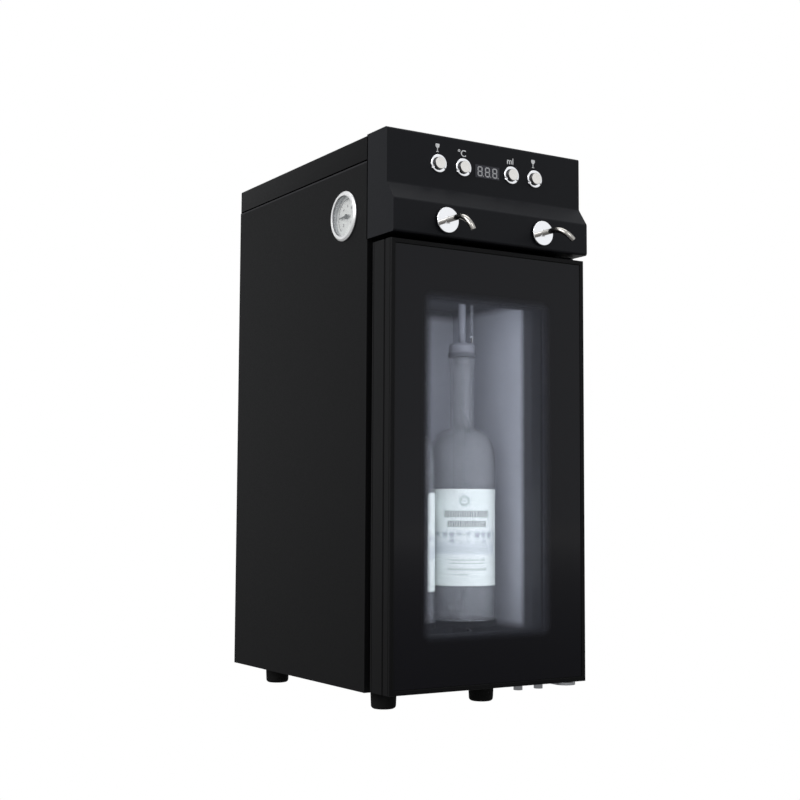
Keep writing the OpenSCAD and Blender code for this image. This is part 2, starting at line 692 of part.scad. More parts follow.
nose_h = 8;
// Silicone stopper with a sealing flange and a nose that centres the bottle's mouth
module bottle_stoppers() color(rubber) placed() for (x = bottles_x) difference() {
  translate([x, bottle_y, stopper_z0]) rotate_extrude() polygon(softened(
    [[0, -nose_h], [6.5, -nose_h], [8, -1], [8, 0], [16, 0], [16, flange_t], [0, flange_t]],
    [0, 1.5, 0, 0, 1.2, 0.8, 0]));
  bar_z(x, bottle_y, [stopper_z0 - nose_h - past, head_z0 + past], tube_r + loose);
}

// ---- Pressure gauge ----

case_r = gauge_hole_r - loose;
case_wall = 1.2;
bezel_out = 3;
dial_x = -side_x + 4;
dial_t = 0.8;
gauge_rim_r = gauge_r - 5;
needle_len = 16;
needle_x = dial_x - 2.4;

// Puts a shape drawn along +Z on the gauge's axis, pointing into the cabinet from x
module on_gauge(x) translate([x, gauge_y, gauge_axis_z]) rotate([0, 90, 0]) children();

// Cup of the gauge, with the threaded stem at its back
module gauge_case() color(chrome) placed() difference() {
  union() {
    on_gauge(-side_x) cylinder(h = gauge_d, r = case_r);
    on_gauge(gauge_x1 - past) cylinder(h = manifold_x[0] - gauge_x1 + 7, r = gauge_stem_r);
  }
  on_gauge(-side_x - past) cylinder(h = dial_x + dial_t + side_x + past, r = case_r - case_wall);
  on_gauge(dial_x) cylinder(h = 5, r = 1 + slip);
}

// Chrome ring round the case, on the side panel
module gauge_bezel() color(chrome) placed() on_gauge(-side_x) mirror([0, 0, 1]) rotate_extrude()
  polygon(softened([[gauge_rim_r, 0], [gauge_r, 0], [gauge_r, 1.2], [gauge_r - 2, bezel_out],
    [gauge_rim_r, bezel_out]], [0, 0, 0.8, 1, 0.5]));

// White disc on the floor of the case
module gauge_dial() color("white") placed() on_gauge(dial_x) difference() {
  cylinder(h = dial_t, r = case_r - case_wall - loose);
  translate([0, 0, -past]) cylinder(h = dial_t + 2*past, r = 1.5);
}

module gauge_glass() color([0.9, 0.93, 0.95, 0.3]) placed()
  on_gauge(-side_x - bezel_out + 1) cylinder(h = 1.2, r = gauge_rim_r);

// Needle on its spindle, at rest pointing to the rear
module gauge_needle() color(rubber) placed() {
  on_gauge(needle_x - 0.3) cylinder(h = 1, r = 2.6);
  on_gauge(needle_x) cylinder(h = 5.5, r = 1);
  translate([needle_x, gauge_y, gauge_axis_z]) in_side_view() linear_extrude(0.6)
    polygon([[-6, -1.1], [-6, 1.1], [0, 1.4], [needle_len, 0.25], [needle_len, -0.25], [0, -1.4]]);
}

// ---- Light ----

led_y = [8, 22];
led_h = 7;
led_w = 160;
module led_bar() color("white") placed() difference() {
  wide_block(led_w, led_y, [bay_top - led_h, bay_top]);
  wide_block(led_w - 4, [led_y[1] - 2, led_y[1] + past], [bay_top - led_h + 1, bay_top - 2]);
}

// ---- Cooling ----

cold_w = inner_fan_w + 10;
cold_fin_d = 12;
cold_base_t = 5;
cold_fins = 13;
fin_t = 1.2;
module_t = 4;
pedestal_y1 = bulkhead_y - 1.6;
hot_y0 = pedestal_y1 + module_t;
hot_base_t = 8;
fan_y0 = rear_in_y - fan_t;

// A row of n upright fins across a width w
module fins(n, w, y, z) for (i = [0 : n - 1])
  block([-w/2 + i*(w - fin_t)/(n - 1), -w/2 + i*(w - fin_t)/(n - 1) + fin_t], y, z);

// Finned plate in the bay, with the pedestal that reaches back through the insulation
module cold_sink() color(steel) placed() {
  z = [cool_z - cold_w/2, cool_z + cold_w/2];
  wide_block(cold_w, [bay_d - cold_base_t, bay_d], z);
  fins(cold_fins, cold_w, [bay_d - cold_base_t - cold_fin_d, bay_d - cold_base_t + past], z);
  wide_block(block_w, [bay_d - past, pedestal_y1], [cool_z - block_w/2, cool_z + block_w/2]);
}

module thermoelectric_module() color("white") placed()
  wide_block(block_w, [pedestal_y1, hot_y0], [cool_z - block_w/2, cool_z + block_w/2]);

// Heat sink behind the module, on four spacers from the bulkhead
module hot_sink() color(steel) placed() {
  z = [cool_z - hot_w/2, cool_z + hot_w/2];
  wide_block(hot_w, [hot_y0, hot_y0 + hot_base_t], z);
  for (x = [-1, 1], k = [-1, 1])
    bar_y(x*(hot_w/2 - 8), [bulkhead_y + sheet, hot_y0 + past], cool_z + k*(hot_w/2 - 8), 5);
  fins(fin_count, hot_w, [hot_y0 + hot_base_t - past, hot_y0 + hot_base_t + hot_fin_d], z);
}

spoke_t = 3;
post_r = 3;
fan_post_h = 8;
// Square fan housing with its round duct, the motor plate and three spokes
module rear_fan_frame() color(plastic) placed() translate([0, fan_y0, cool_z]) difference() {
  union() {
    difference() {
      deep(0, fan_t) rounded_rect(fan_w, fan_w, 5);
      bar_y(0, [-past, fan_t + past], 0, fan_duct_r);
    }
    bar_y(0, [0, spoke_t], 0, 16);
    for (a = [0, 120, 240]) rotate([0, a, 0]) block([14, fan_duct_r + past], [0, spoke_t], [-2, 2]);
    bar_y(0, [spoke_t - past, spoke_t + fan_post_h], 0, post_r);
  }
  for (x = [-1, 1], z = [-1, 1])
    bar_y(x*fan_hole_d, [-past, fan_t + past], z*fan_hole_d, screw_hole_r);
}

blade_t = 1.6;
blade_sweep = 38;
blades = 7;
// A hub with swept blades, modelled along +Z from 0 to h
module rotor(h, hub_r, tip_r) {
  tube(h - 2, hub_r, hub_r - 1.5);
  tube(h - 2, post_r + 2, post_r + slip);
  translate([0, 0, h - 2]) cylinder(h = 2, r = hub_r);
  linear_extrude(height = h - 2, twist = blade_sweep, slices = 4, $fn = 4) for (i = [0 : blades - 1])
    rotate(i*360/blades) translate([hub_r - 0.6, -blade_t/2]) square([tip_r - hub_r + 0.6, blade_t]);
}

module rear_fan_rotor() color(plastic) placed() translate([0, fan_y0 + spoke_t + 0.5, cool_z])
  rotate([-90, 0, 0]) rotor(fan_t - 6, 17, fan_duct_r - 1.5);

guard_wire = 0.9;
spoke_wire = 0.8;
guard_rings = [14, 24, 34, fan_duct_r + 1];
eye_r = 5;
// Round wire guard over the fan's opening, on four eyes
module fan_guard() color(chrome) placed() translate([0, cab_d + guard_wire, cool_z]) {
  for (r = guard_rings) rotate([90, 0, 0]) rotate_extrude() translate([r, 0]) circle(r = guard_wire, $fn = 20);
  for (a = [45, 135, 225, 315]) rotate([0, a, 0])
    bar_x([guard_rings[0], fan_hole_d*sqrt(2) - eye_r + past], 0.5, 0, spoke_wire);
  for (x = [-1, 1], z = [-1, 1]) translate([x*fan_hole_d, -guard_wire, z*fan_hole_d]) rotate([-90, 0, 0])
    tube(2*guard_wire, eye_r, screw_hole_r);
}

cover_w = inner_fan_w + 18;
cover_t = 2;
inner_fan_t = 10;
cover_y0 = bay_d - cold_base_t - cold_fin_d - 3 - inner_fan_t - cover_t;
cover_z = [cool_z - cover_w/2, cool_z + cover_w/2];
grille_pitch = 6;
grille_h = 3;
// Grille over the cold fins, which also carries the small fan's motor
module fan_cover() color(liner_grey) placed() difference() {
  union() {
    difference() {
      wide_block(cover_w, [cover_y0, bay_d], cover_z);
      wide_block(cover_w - 2*cover_t, [cover_y0 + cover_t, bay_d + past],
        [cover_z[0] + cover_t, cover_z[1] - cover_t]);
      for (i = [-4 : 4]) wide_block(inner_fan_w - 10, [cover_y0 - past, cover_y0 + cover_t + past],
        [cool_z + i*grille_pitch - grille_h/2, cool_z + i*grille_pitch + grille_h/2]);
    }
    bar_y(0, [cover_y0, cover_y0 + cover_t], cool_z, 11);
    bar_y(0, [cover_y0 + cover_t/2, cover_y0 + cover_t + 6], cool_z, post_r);
  }
  for (s = [-1, 1], i = [-4 : 4]) block([s*cover_w/2 - 4, s*cover_w/2 + 4], [bay_d - 16, bay_d - 6],
    [cool_z + i*grille_pitch - grille_h/2, cool_z + i*grille_pitch + grille_h/2]);
}

module inner_fan_rotor() color(plastic) placed() translate([0, cover_y0 + cover_t + 0.5, cool_z])
  rotate([-90, 0, 0]) rotor(inner_fan_t - 1, 11, inner_fan_w/2 - 4);

psu_x = [-42, side_x - 41];
psu_h = 40;
psu_y0 = bulkhead_y + sheet + 6;
psu_wire_room = 24.6;    // behind the supply, for the wires from the mains inlet
psu_d = rear_in_y - psu_wire_room - psu_y0;
// Closed power supply on the floor of the rear compartment, with a slotted top
module power_supply() color(steel) placed() difference() {
  block(psu_x, [psu_y0, psu_y0 + psu_d], [sheet, sheet + psu_h]);
  for (x = [psu_x[0] + 10 : 12 : psu_x[1] - 14])
    block([x, x + 6], [psu_y0 + 14, psu_y0 + psu_d - 31], [sheet + psu_h - 1.5, sheet + psu_h + past]);
}

inlet_depth = 17;
inlet_wall = 1.8;
inlet_pin_l = 11;
inlet_pins = [[-7, -2], [0, 3], [7, -2]];
// Three-pin mains inlet in the rear panel
module power_inlet() color(plastic) placed() translate([inlet_x, 0, inlet_z]) {
  difference() {
    union() {
      wide_block(inlet_w - 2*loose, [cab_d - 22, cab_d + past], [loose - inlet_h/2, inlet_h/2 - loose]);
      wide_block(inlet_w + 7, [cab_d, cab_d + 2], [-inlet_h/2 - 4, inlet_h/2 + 4]);
    }
    wide_block(inlet_w - 2*inlet_wall, [cab_d + 2 - inlet_depth, cab_d + 3],
      [inlet_wall - inlet_h/2, inlet_h/2 - inlet_wall]);
  }
  for (p = inlet_pins) block([p.x - 1, p.x + 1],
    [cab_d + 2 - inlet_depth - past, cab_d + 2 - inlet_depth + inlet_pin_l], [p.y - 2, p.y + 2]);
}

// ---- Bottle lifts ----

tray_r = bottle_r + 1.5;
tray_t = 3;
rim_h = 4;
plunger_r = 6;
sleeve_r = 8;
sleeve_top = tray_top - tray_t - tray_travel - 1;
well_t = 2;
plunger_z0 = well_z0 + well_t + tray_travel + 1;
collar_r = well_r + 4;

// Flanged wells in the bay's floor, each with the sleeve that guides a tray's plunger
module tray_guides() color(steel) placed() for (x = bottles_x) translate([x, bottle_y, 0]) {
  translate([0, 0, well_z0]) cylinder(h = well_t, r = well_r);
  translate([0, 0, well_z0 + well_t]) tube(bay_floor - well_z0 - well_t, well_r, well_r - well_wall);
  translate([0, 0, bay_floor]) tube(1.5, collar_r, well_r - well_wall);
  translate([0, 0, well_z0 + well_t]) tube(sleeve_top - well_z0 - well_t, sleeve_r, plunger_r + slip);
}

// Round tray with a rim that centres the bottle, on a plunger
module tray(x) color(steel) placed() translate([x, bottle_y, 0]) {
  difference() {
    translate([0, 0, tray_top - tray_t]) cylinder(h = tray_t + rim_h, r = tray_r);
    translate([0, 0, tray_top]) cylinder(h = rim_h + past, r = bottle_r + 0.7);
  }
  translate([0, 0, plunger_z0]) cylinder(h = tray_top - tray_t - plunger_z0 + past, r = plunger_r);
}
module tray_left() tray(bottles_x[0]);
module tray_right() tray(bottles_x[1]);

spring_turns = 7;
spring_wire = 0.9;
spring_r = (sleeve_r + well_r - well_wall)/2;
spring_z0 = well_z0 + well_t + seat + spring_wire;
spring_z1 = tray_top - tray_t - seat - spring_wire;
ring_count = 8*spring_turns;
end_share = 0.5/spring_turns;   // share of the wire that lies level at each end
// Height of the wire's centre at a share t of its length
function spring_height(t) =
  spring_z0 + (spring_z1 - spring_z0)*min(1, max(0, (t - end_share)/(1 - 2*end_share)));
function spring_point(t, b) = let (a = 360*spring_turns*t, r = spring_r + spring_wire*cos(b))
  [r*cos(a), r*sin(a), spring_height(t) + spring_wire*sin(b)];
spring_points = [for (i = [0 : ring_count], k = [0 : 5]) spring_point(i/ring_count, 60*k)];
spring_faces = concat([[for (k = [0 : 5]) k]], [[for (k = [5 : -1 : 0]) ring_count*6 + k]],
  [for (i = [0 : ring_count - 1], k = [0 : 5]) let (n = (k + 1) % 6)
    each [[i*6 + k, (i + 1)*6 + k, i*6 + n], [i*6 + n, (i + 1)*6 + k, (i + 1)*6 + n]]]);
// Least distance between a point of the wire and any point a turn or more further on
spring_gap = min([for (i = [0 : ring_count - 8], j = [i + 8 : ring_count], k = [0 : 5], n = [0 : 5])
  if (j < i + 10) norm(spring_points[i*6 + k] - spring_points[j*6 + n])]);
echo(spring_gap_to_itself_mm = spring_gap);

// Compression spring between a well and its tray
module lift_spring(x) color(steel) placed() translate([x, bottle_y, 0]) polyhedron(spring_points, spring_faces);
module lift_spring_left() lift_spring(bottles_x[0]);
module lift_spring_right() lift_spring(bottles_x[1]);

wall_glass = 3;
neck_r = 14;
mouth_r = 9.5;
body_h = 0.61*bottle_h;
neck_z = 0.73*bottle_h;
arc_steps = 8;
// Points of the shoulder's quarter ellipse, from radius r1 at height z1 in to r0 at z0
function shoulder(r1, z1, r0, z0) = [for (i = [0 : arc_steps]) let (a = 90*i/arc_steps)
  [r0 + (r1 - r0)*cos(a), z1 + (z0 - z1)*sin(a)]];
inner_shoulder = shoulder(bottle_r - wall_glass, body_h - 2, mouth_r, neck_z - 2);
// Half profile of a straight-sided bottle with a high round shoulder and a shallow punt
bottle_outline = concat([[0, 6], [20, 1.5], [bottle_r - 6, 0], [bottle_r - 1, 1.2], [bottle_r, 4]],
  shoulder(bottle_r, body_h, neck_r, neck_z),
  [[neck_r - 0.4, bottle_h - 16], [neck_r + 1, bottle_h - 15], [neck_r + 1, bottle_h - 1], [neck_r, bottle_h],
   [mouth_r, bottle_h]],
  [for (i = [arc_steps : -1 : 0]) inner_shoulder[i]],
  [[bottle_r - wall_glass, 9], [bottle_r - 8, 6], [20, 7], [0, 11]]);

module bottle(x) color(bottle_glass) placed() translate([x, bottle_y, tray_top]) rotate_extrude()
  polygon(bottle_outline);
module bottle_left() bottle(bottles_x[0]);
module bottle_right() bottle(bottles_x[1]);

// ---- Feet, hinges and fasteners ----

foot_recess_r = 6;
foot_seat = 6;   // height of rubber between the screw's head and the base plate
// Tapered rubber feet with a recess for the screw
module feet() color(rubber) placed() for (p = feet_at) difference() {
  translate([p.x, p.y, -foot_h]) rotate_extrude() polygon(softened([[0, 0], [foot_r - foot_taper, 0],
    [foot_r, foot_h - 3], [foot_r, foot_h], [0, foot_h]], [0, 3.5, 3, 0, 0]));
  bar_z(p.x, p.y, [-foot_h - past, past], foot_screw_r + loose);
  bar_z(p.x, p.y, [-foot_h - past, -foot_seat], foot_recess_r);
}

hinge_t = 3;
pin_in = 12;
plate_x0 = bolt_x[0] - 11;
plate_y1 = bolt_y + 14;
arm_r = (arm_x[1] - arm_x[0])/2;
arm_mid = (arm_x[0] + arm_x[1])/2;
// Plated bracket bolted under the base and the angle bracket under the fascia, each with its pin
module hinge_brackets() color(steel) placed() {
  difference() {
    union() {
      translate([0, 0, -hinge_t]) linear_extrude(hinge_t) {
        polygon([[plate_x0, sheet], [plate_x0, plate_y1], [arm_x[1], plate_y1], [arm_x[1], hinge_y],
          [arm_x[0], hinge_y], [arm_x[0], -15], [arm_x[0] - 13, sheet]]);
        translate([arm_mid, hinge_y]) circle(r = arm_r);
      }
      bar_z(hinge_x, hinge_y, [-hinge_t, door_z0 + pin_in], pin_r);
    }
    for (x = bolt_x) bar_z(x, bolt_y, [-hinge_t - past, past], bolt_r + loose);
  }
  difference() {
    union() {
      translate([0, 0, upper_plate_z]) linear_extrude(upper_t) {
        translate([arm_x[0], hinge_y]) square([arm_x[1] - arm_x[0], -hinge_y]);
        translate([arm_mid, hinge_y]) circle(r = arm_r);
      }
      block(arm_x, [-upper_t, 0], [upper_plate_z + upper_t - leg_h, upper_plate_z + upper_t]);
      bar_z(hinge_x, hinge_y, [door_z1 - pin_in, upper_plate_z + upper_t], pin_r);
    }
    for (x = leg_screw_x) bar_y(x, [-upper_t - past, past], leg_screw_z, small_screw_r + loose);
  }
}

washer_t = 1.5;
bolt_head_h = 7;
bolt_head_r = 5;
foot_head_t = 3;
// A pan-head screw whose head's underside lies at the origin, with its shank along -Z
module pan_screw(r, l) difference() {
  union() {
    rotate_extrude() polygon(softened([[0, 0], [1.9*r, 0], [1.7*r, 0.85*r], [0, 1.1*r]], [0, 0, 0.2*r, 0]));
    translate([0, 0, -l]) cylinder(h = l + 0.2, r = r);
  }
  for (a = [0, 90]) rotate(a) translate([-r, -0.2*r, 0.6*r]) cube([2*r, 0.4*r, r]);
}

// Bolts of the lower hinge and screws of the feet, rear panel, fan, upper hinge and control board
module fasteners() color(steel) placed() {
  for (x = bolt_x) difference() {
    union() {
      bar_z(x, bolt_y, [-hinge_t - washer_t - bolt_head_h, -hinge_t - washer_t], bolt_head_r);
      bar_z(x, bolt_y, [-hinge_t - washer_t, -hinge_t], bolt_head_r + 1.2);
      bar_z(x, bolt_y, [-hinge_t - washer_t, 8], bolt_r);
    }
    translate([x, bolt_y, -hinge_t - washer_t - bolt_head_h - past]) cylinder(h = 4.5, r = 2.9, $fn = 6);
  }
  for (p = feet_at) {
    bar_z(p.x, p.y, [-foot_seat - foot_head_t, -foot_seat], 4.8);
    bar_z(p.x, p.y, [-foot_seat - past, sheet + 6], foot_screw_r);
  }
  for (s = [-1, 1], z = rear_screw_z)
    translate([s*rear_screw_x, cab_d, z]) rotate([-90, 0, 0]) pan_screw(screw_r, 5);
  for (x = [-1, 1], z = [-1, 1]) translate([x*fan_hole_d, cab_d + 2*guard_wire, cool_z + z*fan_hole_d])
    rotate([-90, 0, 0]) pan_screw(screw_r, fan_t - 3);
  for (x = leg_screw_x) translate([x, -upper_t, leg_screw_z]) rotate([90, 0, 0]) pan_screw(small_screw_r, 6);
  for (x = [-1, 1], z = [-1, 1]) translate([x*boss_x, board_y + board_t, button_row_z + z*boss_dz])
    rotate([-90, 0, 0]) pan_screw(small_screw_r, 7);
}

// ---- Door ----

ledge_w = 13;
ledge_t = 2;
bush_r = 5;
bush_h = 13;
window_in = 1.5;   // how far the door's inner edges stay outside the clear window
pane_over = 12;    // how far the inner pane reaches past the clear window
spacer_w = 8;
glass_w = 2*(side_x - lip_w);
glass_h = door_h - 2*lip_w;
backer_w = glass_w - 2*seat;
backer_z = [door_z0 + lip_w + seat, door_z1 - lip_w - seat];
window_span = [window_z - window_h/2, window_z + window_h/2];

// A groove of width w and depth d round place y in the frame's outer wall
function groove(y, w, d) = [[0, y + w/2], [d, y + w/2 - d/2], [d, y - w/2 + d/2], [0, y - w/2]];

// Section of the frame's extrusion, x inwards from the door's edge and y its depth: the grooved
// outer wall and the ledge behind the glass
frame_section = concat(
  rounded([0, door_back_y], [0, door_front_y], [lip_w, door_front_y], 1),
  rounded([0, door_front_y], [lip_w, door_front_y], [lip_w, glass_y1], 0.6),
  [[lip_w, glass_y1], [ledge_w, glass_y1], [ledge_w, glass_y1 + ledge_t], [lip_w, glass_y1 + ledge_t],
   [lip_w, door_back_y]],
  rounded([lip_w, door_back_y], [0, door_back_y], [0, door_front_y], 1),
  groove(door_back_y - 3, 1.2, 0.6), groove(door_back_y - 24.5, 3, 1.2), groove(door_front_y + 3, 0.9, 0.5));

// One mitred bar of the frame between two heights, with its outer edge on X = 0
module frame_bar(span) intersection() {
  translate([0, 0, span[0] - past]) linear_extrude(span[1] - span[0] + 2*past) polygon(frame_section);
  deep(door_front_y, door_t) polygon([[0, span[0]], [ledge_w + past, span[0] + ledge_w + past],
    [ledge_w + past, span[1] - ledge_w - past], [0, span[1]]]);
}

// Four mitred bars of black anodised extrusion, bored for the hinge bushes
module door_frame() color(paint) placed() difference() {
  union() {
    translate([-side_x, 0, 0]) frame_bar([door_z0, door_z1]);
    translate([side_x, 0, 0]) mirror([1, 0, 0]) frame_bar([door_z0, door_z1]);
    translate([0, 0, door_z0]) rotate([0, -90, 0]) frame_bar([-side_x, side_x]);
    translate([0, 0, door_z1]) mirror([0, 0, 1]) rotate([0, -90, 0]) frame_bar([-side_x, side_x]);
  }
  bar_z(hinge_x, hinge_y, [door_z0 - past, door_z0 + lip_w + past], bush_r + loose);
  bar_z(hinge_x, hinge_y, [door_z1 - lip_w - past, door_z1 + past], bush_r + loose);
}

// Moulded frame that fills the door behind the glass, with the pocket of the inner pane
module door_backer() color(plastic) placed() difference() {
  union() {
    wide_block(backer_w, [glass_y1 + ledge_t, door_back_y], backer_z);
    wide_block(2*(side_x - ledge_w - seat), [glass_y1, glass_y1 + ledge_t + past],
      [door_z0 + ledge_w + seat, door_z1 - ledge_w - seat]);
  }
  wide_block(window_w + 2*(pane_over + seat), [glass_y1 - past, inner_glass_y1],
    [window_span[0] - pane_over - seat, window_span[1] + pane_over + seat]);
  wide_block(window_w + 2*window_in, [glass_y1, door_back_y + past],
    [window_span[0] - window_in, window_span[1] + window_in]);
  for (z = [[door_z0, door_z0 + bush_h], [door_z1 - bush_h, door_z1]])
    bar_z(hinge_x, hinge_y, z, bush_r + loose);
}

module door_glass() color([0.06, 0.06, 0.07, 0.9]) placed() wide_block(glass_w - 2*seat, [glass_y0, glass_y1],
  [door_z0 + lip_w + seat, door_z1 - lip_w - seat]);

module inner_glass() color([0.8, 0.85, 0.88, 0.3]) placed() wide_block(window_w + 2*pane_over,
  [inner_glass_y0, inner_glass_y1], [window_span[0] - pane_over, window_span[1] + pane_over]);

// Bar that holds the two panes apart, hidden behind the printed border
module glass_spacer() color(steel) placed() difference() {
  wide_block(window_w + 2*(window_in + spacer_w), [glass_y1, inner_glass_y0],
    [window_span[0] - window_in - spacer_w, window_span[1] + window_in + spacer_w]);
  wide_block(window_w + 2*window_in, [glass_y1 - past, inner_glass_y0 + past],
    [window_span[0] - window_in, window_span[1] + window_in]);
}

gasket_w = 12;
gasket_x = hinge_x - 0.5;
gasket_z = [door_z0 + 7.5, upper_plate_z + upper_t - leg_h - 1];
gasket_foot = 2.5;
gasket_bulb = 3.4;
// One closed rectangular layer of the gasket, inset from its outer edge
module gasket_layer(inset, w, y) difference() {
  wide_block(2*(gasket_x - inset), y, [gasket_z[0] + inset, gasket_z[1] - inset]);
  wide_block(2*(gasket_x - inset - w), [y[0] - past, y[1] + past],
    [gasket_z[0] + inset + w, gasket_z[1] - inset - w]);
}

// Magnetic gasket: a wide foot on the door, a narrow bellows and the magnet's bulb
module door_gasket() color(rubber) placed() {
  gasket_layer(0, gasket_w, [door_back_y, door_back_y + gasket_foot]);
  gasket_layer(2.5, gasket_w - 5, [door_back_y + gasket_foot, -seat - gasket_bulb]);
  gasket_layer(0.8, gasket_w - 1.6, [-seat - gasket_bulb, -seat]);
}

// Flanged nylon bushes for the two hinge pins
module hinge_bushes() color("#d9d9d4") placed() for (end = [0, 1])
  translate([hinge_x, hinge_y, end == 0 ? door_z0 : door_z1]) mirror([0, 0, end]) {
    tube(bush_h, bush_r, pin_r + slip);
    translate([0, 0, -bush_flange_t]) tube(bush_flange_t, bush_r + 2, pin_r + slip);
  }

left_side_panel();
right_side_panel();
top_lid();
rear_panel();
base_plate();
front_frame();
inner_liner();
insulation_foam();
inner_bulkhead();
head_fascia();
control_board();
display_lens();
button_housings();
button_1();
button_2();
button_3();
button_4();
solenoid_valves();
tap_escutcheons();
spout_left();
spout_right();
wine_lines();
gas_lines();
gas_manifold();
gas_inlet_fitting();
stopper_heads();
bottle_stoppers();
gauge_case();
gauge_bezel();
gauge_dial();
gauge_glass();
gauge_needle();
led_bar();
cold_sink();
thermoelectric_module();
hot_sink();
rear_fan_frame();
rear_fan_rotor();
fan_guard();
fan_cover();
inner_fan_rotor();
power_supply();
power_inlet();
tray_guides();
tray_left();
tray_right();
lift_spring_left();
lift_spring_right();
bottle_left();
bottle_right();
feet();
hinge_brackets();
fasteners();
door_frame();
door_backer();
door_glass();
inner_glass();
glass_spacer();
door_gasket();
hinge_bushes();
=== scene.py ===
import bpy
import json
import math
from mathutils import Matrix, Vector


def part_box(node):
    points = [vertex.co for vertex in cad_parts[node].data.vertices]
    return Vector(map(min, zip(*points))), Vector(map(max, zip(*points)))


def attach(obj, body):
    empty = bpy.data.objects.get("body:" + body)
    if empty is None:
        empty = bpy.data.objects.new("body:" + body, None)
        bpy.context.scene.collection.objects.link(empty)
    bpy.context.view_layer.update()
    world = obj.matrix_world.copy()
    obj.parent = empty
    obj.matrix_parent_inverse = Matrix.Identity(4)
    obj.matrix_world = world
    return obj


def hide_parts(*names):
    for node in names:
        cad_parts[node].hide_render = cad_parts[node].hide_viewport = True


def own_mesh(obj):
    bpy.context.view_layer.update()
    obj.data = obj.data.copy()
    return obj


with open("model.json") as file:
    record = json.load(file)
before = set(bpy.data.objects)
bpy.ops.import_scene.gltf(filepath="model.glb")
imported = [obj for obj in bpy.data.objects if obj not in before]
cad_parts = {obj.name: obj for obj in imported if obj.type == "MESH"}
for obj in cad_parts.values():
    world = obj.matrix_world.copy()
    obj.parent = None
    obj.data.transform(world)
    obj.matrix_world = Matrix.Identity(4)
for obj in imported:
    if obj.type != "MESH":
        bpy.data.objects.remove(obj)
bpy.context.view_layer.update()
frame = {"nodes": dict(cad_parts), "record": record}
nodes = frame["nodes"]
behaviour = frame["record"]["behaviour"]
nodeBody = {name: body for body, names in behaviour["bodies"].items() for name in names}
bpy.ops.object.select_all(action='DESELECT')
mm = 0.001
same = 1e-7    # two places closer than this are one
print("stage 1: frame loaded,", len(nodes), "nodes")


# small helpers

def linear(code):    # sRGB hex to the linear values that sockets take
    parts = [int(code[i:i + 2], 16)/255 for i in (1, 3, 5)]
    return tuple(c/12.92 if c <= 0.04045 else ((c + 0.055)/1.055)**2.4 for c in parts) + (1.0,)


def addNode(tree, kind, values=None, links=None, **settings):
    node = tree.nodes.new(kind)
    for key, value in settings.items():
        setattr(node, key, value)
    for key, value in (values or {}).items():
        node.inputs[key].default_value = value
    for key, source in (links or {}).items():
        tree.links.new(source, node.inputs[key])
    return node


def newMaterial(name):    # an empty material with one principled shader
    material = bpy.data.materials.new(name)
    material.use_nodes = True
    tree = material.node_tree
    shader = tree.nodes["Principled BSDF"]
    return material, tree, shader


def baseTone(shader):    # the colour that a shader has so far
    return shader.inputs["Base Color"].links[0].from_socket


def objectSplit(tree):    # X, Y and Z of a point in the shared frame
    place = addNode(tree, "ShaderNodeTexCoord").outputs["Object"]
    return addNode(tree, "ShaderNodeSeparateXYZ", links={0: place})


def paintNode(nodeName, material):
    data = nodes[nodeName].data
    data.materials.clear()
    data.materials.append(material)


def boxCentre(nodeName):
    low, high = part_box(nodeName)
    return (low + high)/2


def soloSelect(piece):
    bpy.ops.object.select_all(action='DESELECT')
    piece.select_set(True)
    bpy.context.view_layer.objects.active = piece


def settle(piece):    # puts place, turn and scale into the mesh
    soloSelect(piece)
    bpy.ops.object.transform_apply(location=True, rotation=True, scale=True)
    return piece


def applyModifier(piece, name, kind, **settings):
    soloSelect(piece)
    modifier = piece.modifiers.new(name, kind)
    for key, value in settings.items():
        setattr(modifier, key, value)
    bpy.ops.object.modifier_apply(modifier=modifier.name)


def smoothBelow(piece, degrees=40):    # soft shading across edges flatter than this, crisp edges elsewhere
    soloSelect(piece)
    bpy.ops.object.shade_smooth_by_angle(angle=math.radians(degrees))


def deleteFaces(piece, unwanted):    # removes the faces for which unwanted(face) holds
    soloSelect(piece)
    bpy.ops.object.mode_set(mode='EDIT')
    bpy.ops.mesh.select_mode(type='FACE')
    bpy.ops.mesh.select_all(action='DESELECT')
    bpy.ops.object.mode_set(mode='OBJECT')
    for face in piece.data.polygons:
        face.select = unwanted(face)
    bpy.ops.object.mode_set(mode='EDIT')
    bpy.ops.mesh.delete(type='FACE')
    bpy.ops.object.mode_set(mode='OBJECT')


def joinPieces(group, name):
    bpy.ops.object.select_all(action='DESELECT')
    for piece in group:
        piece.select_set(True)
    bpy.context.view_layer.objects.active = group[0]
    if len(group) > 1:
        bpy.ops.object.join()
    joined = bpy.context.view_layer.objects.active
    joined.name = name
    joined.data.name = name
    return joined


def dress(piece, material, body):
    piece.data.materials.clear()
    piece.data.materials.append(material)
    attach(piece, body)


# camera: standing low in front of the left side, looking slightly up

# angles in degrees, focal length and picture width in pixels, sensor in millimetres
camera = {"place": (-0.830, -1.319543, 0.210), "yaw": 31.75, "pitch": 4.5, "roll": 0.29, "focal": 1351.0,
          "picture": 800, "sensor": 36}
yaw, pitch, roll = (math.radians(camera[k]) for k in ("yaw", "pitch", "roll"))
levelAhead = Vector((math.sin(yaw), math.cos(yaw), 0))
levelRight = Vector((math.cos(yaw), -math.sin(yaw), 0))
ahead = levelAhead*math.cos(pitch) + Vector((0, 0, 1))*math.sin(pitch)
above = Vector((0, 0, 1))*math.cos(pitch) - levelAhead*math.sin(pitch)
camRight = levelRight*math.cos(roll) + above*math.sin(roll)
camUp = above*math.cos(roll) - levelRight*math.sin(roll)
cameraData = bpy.data.cameras.new("photoCamera")
cameraData.sensor_width = camera["sensor"]
cameraData.lens = camera["focal"]/camera["picture"]*camera["sensor"]
cameraObject = bpy.data.objects.new("photoCamera", cameraData)
bpy.context.scene.collection.objects.link(cameraObject)
turn = Matrix((camRight, camUp, -ahead)).transposed()
